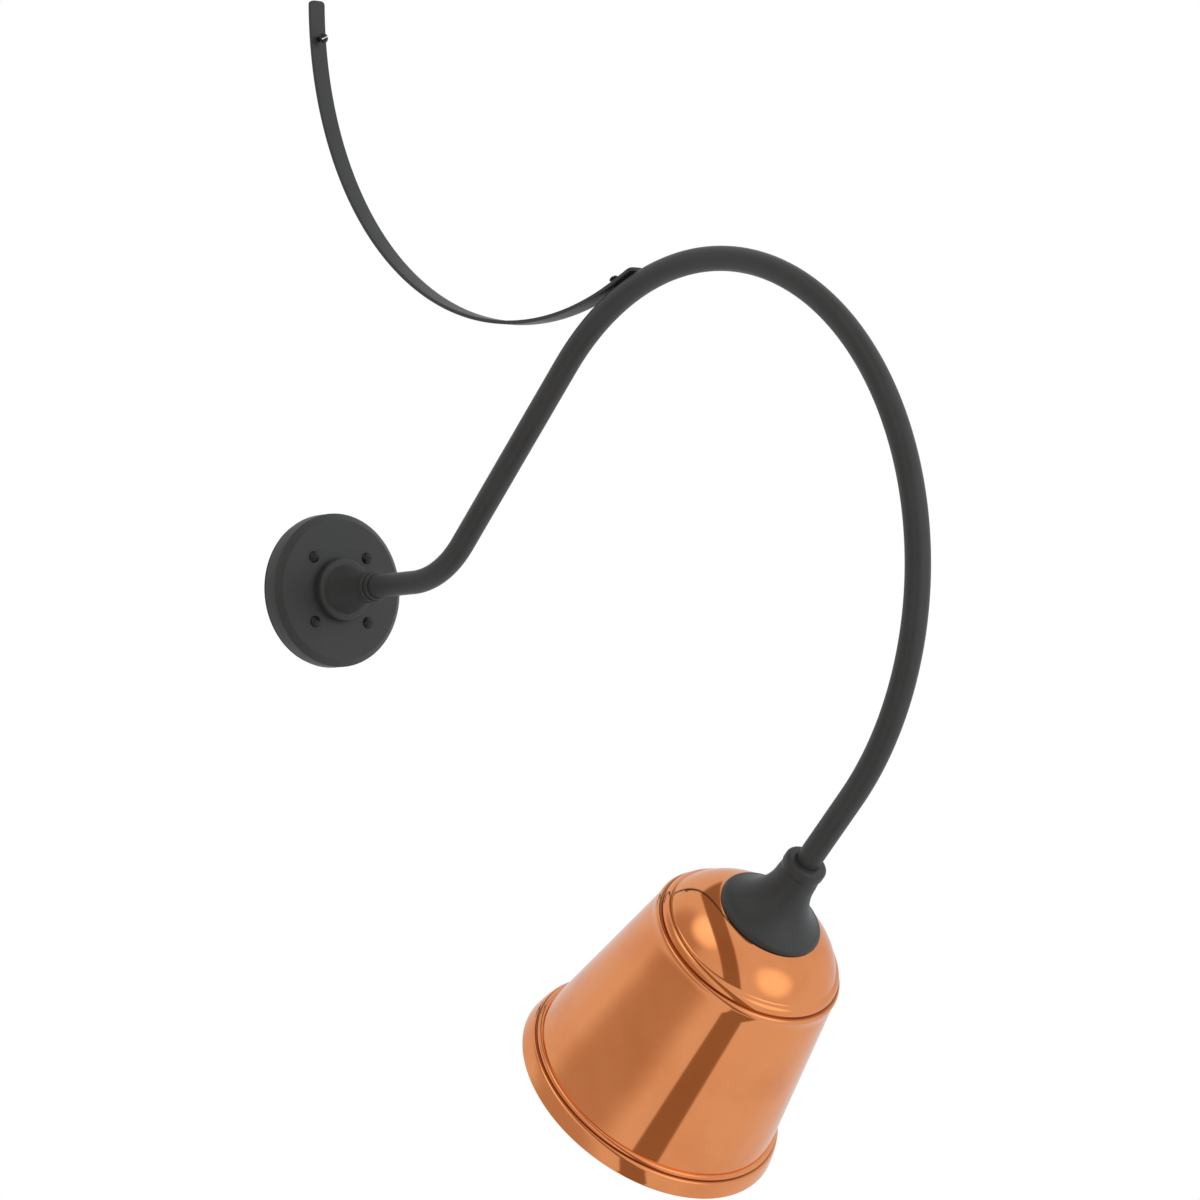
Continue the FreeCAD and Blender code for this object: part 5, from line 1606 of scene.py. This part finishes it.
@dataclass(frozen=True)
class Studio:
    """Camera, floor, soft lights and surroundings."""

    camera_place: Triple = (-2.4156, -3.3358, -0.2513)
    azimuth: float = 39.06
    elevation: float = -3.33
    roll: float = -1.23
    lens: float = 149.38
    floor_level: float = -0.62
    floor_radius: float = 1.7
    middle: Triple = (0.0, -0.35, 0.0)
    lights: tuple[Lamplight, ...] = (Lamplight("key_light", (1.9, -2.9, 1.5), 2.4, 40.0),)
    surround: Colour = tint(0.74, 0.76, 0.78)
    patches: tuple[Patch, ...] = (
        Patch((-0.92, 0.3, -0.15), 0.96, 0.72, tint(0.5, 0.46, 0.42)),
        Patch((-0.75, 0.2, 0.65), 0.97, 0.8, tint(0.52, 0.48, 0.45)),
        Patch((-0.5, -0.3, 0.8), 0.997, 0.9, tint(1.25, 1.35, 1.3)),
        Patch((0.2, -0.97, -0.02), 0.997, 0.9, tint(1.25, 1.3, 1.2)),
    )
    band_normal: Triple = (0.826, -0.553, -0.103)
    band_shift: float = 0.055
    band_half: float = 0.16
    band_blur: float = 0.025
    band_back: float = 0.25
    back_blur: float = 0.1
    band_colour: Colour = tint(0.29, 0.23, 0.17)

    def camera(self) -> None:
        """Stands the camera at the photograph's place.

        The back direction comes from azimuth and elevation, and right and up are turned about it
        by the roll.
        """
        around, rise, roll = (math.radians(v) for v in (self.azimuth, self.elevation, self.roll))
        level = math.cos(rise)
        back = Vector((-math.sin(around) * level, -math.cos(around) * level, math.sin(rise)))
        right = Vector((math.cos(around), -math.sin(around), 0.0))
        up = back.cross(right)
        turned_right = right * math.cos(roll) + up * math.sin(roll)
        turned_up = up * math.cos(roll) - right * math.sin(roll)
        data = bpy.data.cameras.new("photo_camera")
        data.sensor_width = 36.0
        data.lens = self.lens
        camera = bpy.data.objects.new("photo_camera", data)
        axes = Matrix((turned_right, turned_up, back)).transposed().to_4x4()
        camera.matrix_world = Matrix.Translation(Vector(self.camera_place)) @ axes
        bpy.context.scene.collection.objects.link(camera)
        bpy.context.scene.camera = camera

    def floor(self) -> None:
        """Lays a plain pale round floor well below the object, which reflections look past."""
        spot = Spot((0.0, -300.0, self.floor_level * 1000), (0.0, 0.0, 1.0))
        reach = self.floor_radius * 1000
        line = np.array([(0.0, -8.0), (reach - 4, -8.0), (reach, -4.0), (reach - 2, 0.0), (0.0, 0.0)])
        floor = PieceMaker.turn("studio_floor", line, spot, sides=96)
        material = bpy.data.materials.new("pale_floor")
        material.use_nodes = True
        nodes = Nodes(material.node_tree)
        shader = material.node_tree.nodes["Principled BSDF"]
        place = nodes.add("ShaderNodeTexCoord").outputs["Object"]
        cloud = nodes.noise(place, 3.0, 3.0)
        nodes.feed(shader.inputs["Base Color"], nodes.mix(cloud, grey(0.82), grey(0.86)))
        shader.inputs["Roughness"].default_value = 0.9
        floor.data.materials.append(material)
        floor.visible_glossy = False

    def surroundings(self) -> None:
        """Sets a white backdrop for the camera and soft surroundings for light and reflections.

        Reflections see an even pale tone, changed by soft round patches whose mask grows with the
        cosine between the direction and the patch's middle, and by a dark band where the
        direction's part along the band's normal is small, except far behind the object.
        """
        world = bpy.data.worlds.new("soft_surroundings")
        bpy.context.scene.world = world
        world.use_nodes = True
        nodes = Nodes(world.node_tree)
        background = world.node_tree.nodes["Background"]
        way = nodes.add("ShaderNodeTexCoord").outputs["Generated"]
        colour: object = self.surround
        for patch in self.patches:
            cosine = self.along(nodes, way, patch.toward)
            share = nodes.spread(cosine, patch.outer, patch.inner)
            colour = nodes.mix(share, colour, patch.colour)
        part = self.along(nodes, way, self.band_normal)
        off = nodes.sum("ABSOLUTE", nodes.sum("ADD", part, self.band_shift))
        near = nodes.spread(off, self.band_half, self.band_half + self.band_blur, 1.0, 0.0)
        back = self.along(nodes, way, (0.0, 1.0, 0.0))
        ahead = nodes.spread(back, self.band_back, self.band_back + self.back_blur, 1.0, 0.0)
        share = nodes.sum("MULTIPLY", near, ahead)
        colour = nodes.mix(share, colour, self.band_colour)
        straight = nodes.add("ShaderNodeLightPath").outputs["Is Camera Ray"]
        nodes.feed(background.inputs["Color"], nodes.mix(straight, colour, grey(1.0)))
        background.inputs["Strength"].default_value = 1.0

    @staticmethod
    def along(nodes: Nodes, way: Socket, toward: Sequence[float]) -> Socket:
        """The part of a direction along another one."""
        return nodes.vector("DOT_PRODUCT", way, tuple(Vector(toward).normalized())).outputs["Value"]

    def make(self) -> None:
        """Sets up everything that isn't part of the object."""
        self.camera()
        self.floor()
        self.surroundings()
        for light in self.lights:
            light.make(Vector(self.middle))
        bpy.context.scene.view_settings.view_transform = "Standard"


def main() -> None:
    """Builds every assembly and the studio."""
    logging.basicConfig(level=logging.INFO, format="%(name)s: %(message)s")
    for assembly in (WallMount(), Arm(), Brace(), LampHead(), Lamp()):
        assembly.make()
        LOG.info("%s: %d pieces", type(assembly).__name__, len(assembly.made))
    Studio().make()


if __name__ == "__main__":
    main()
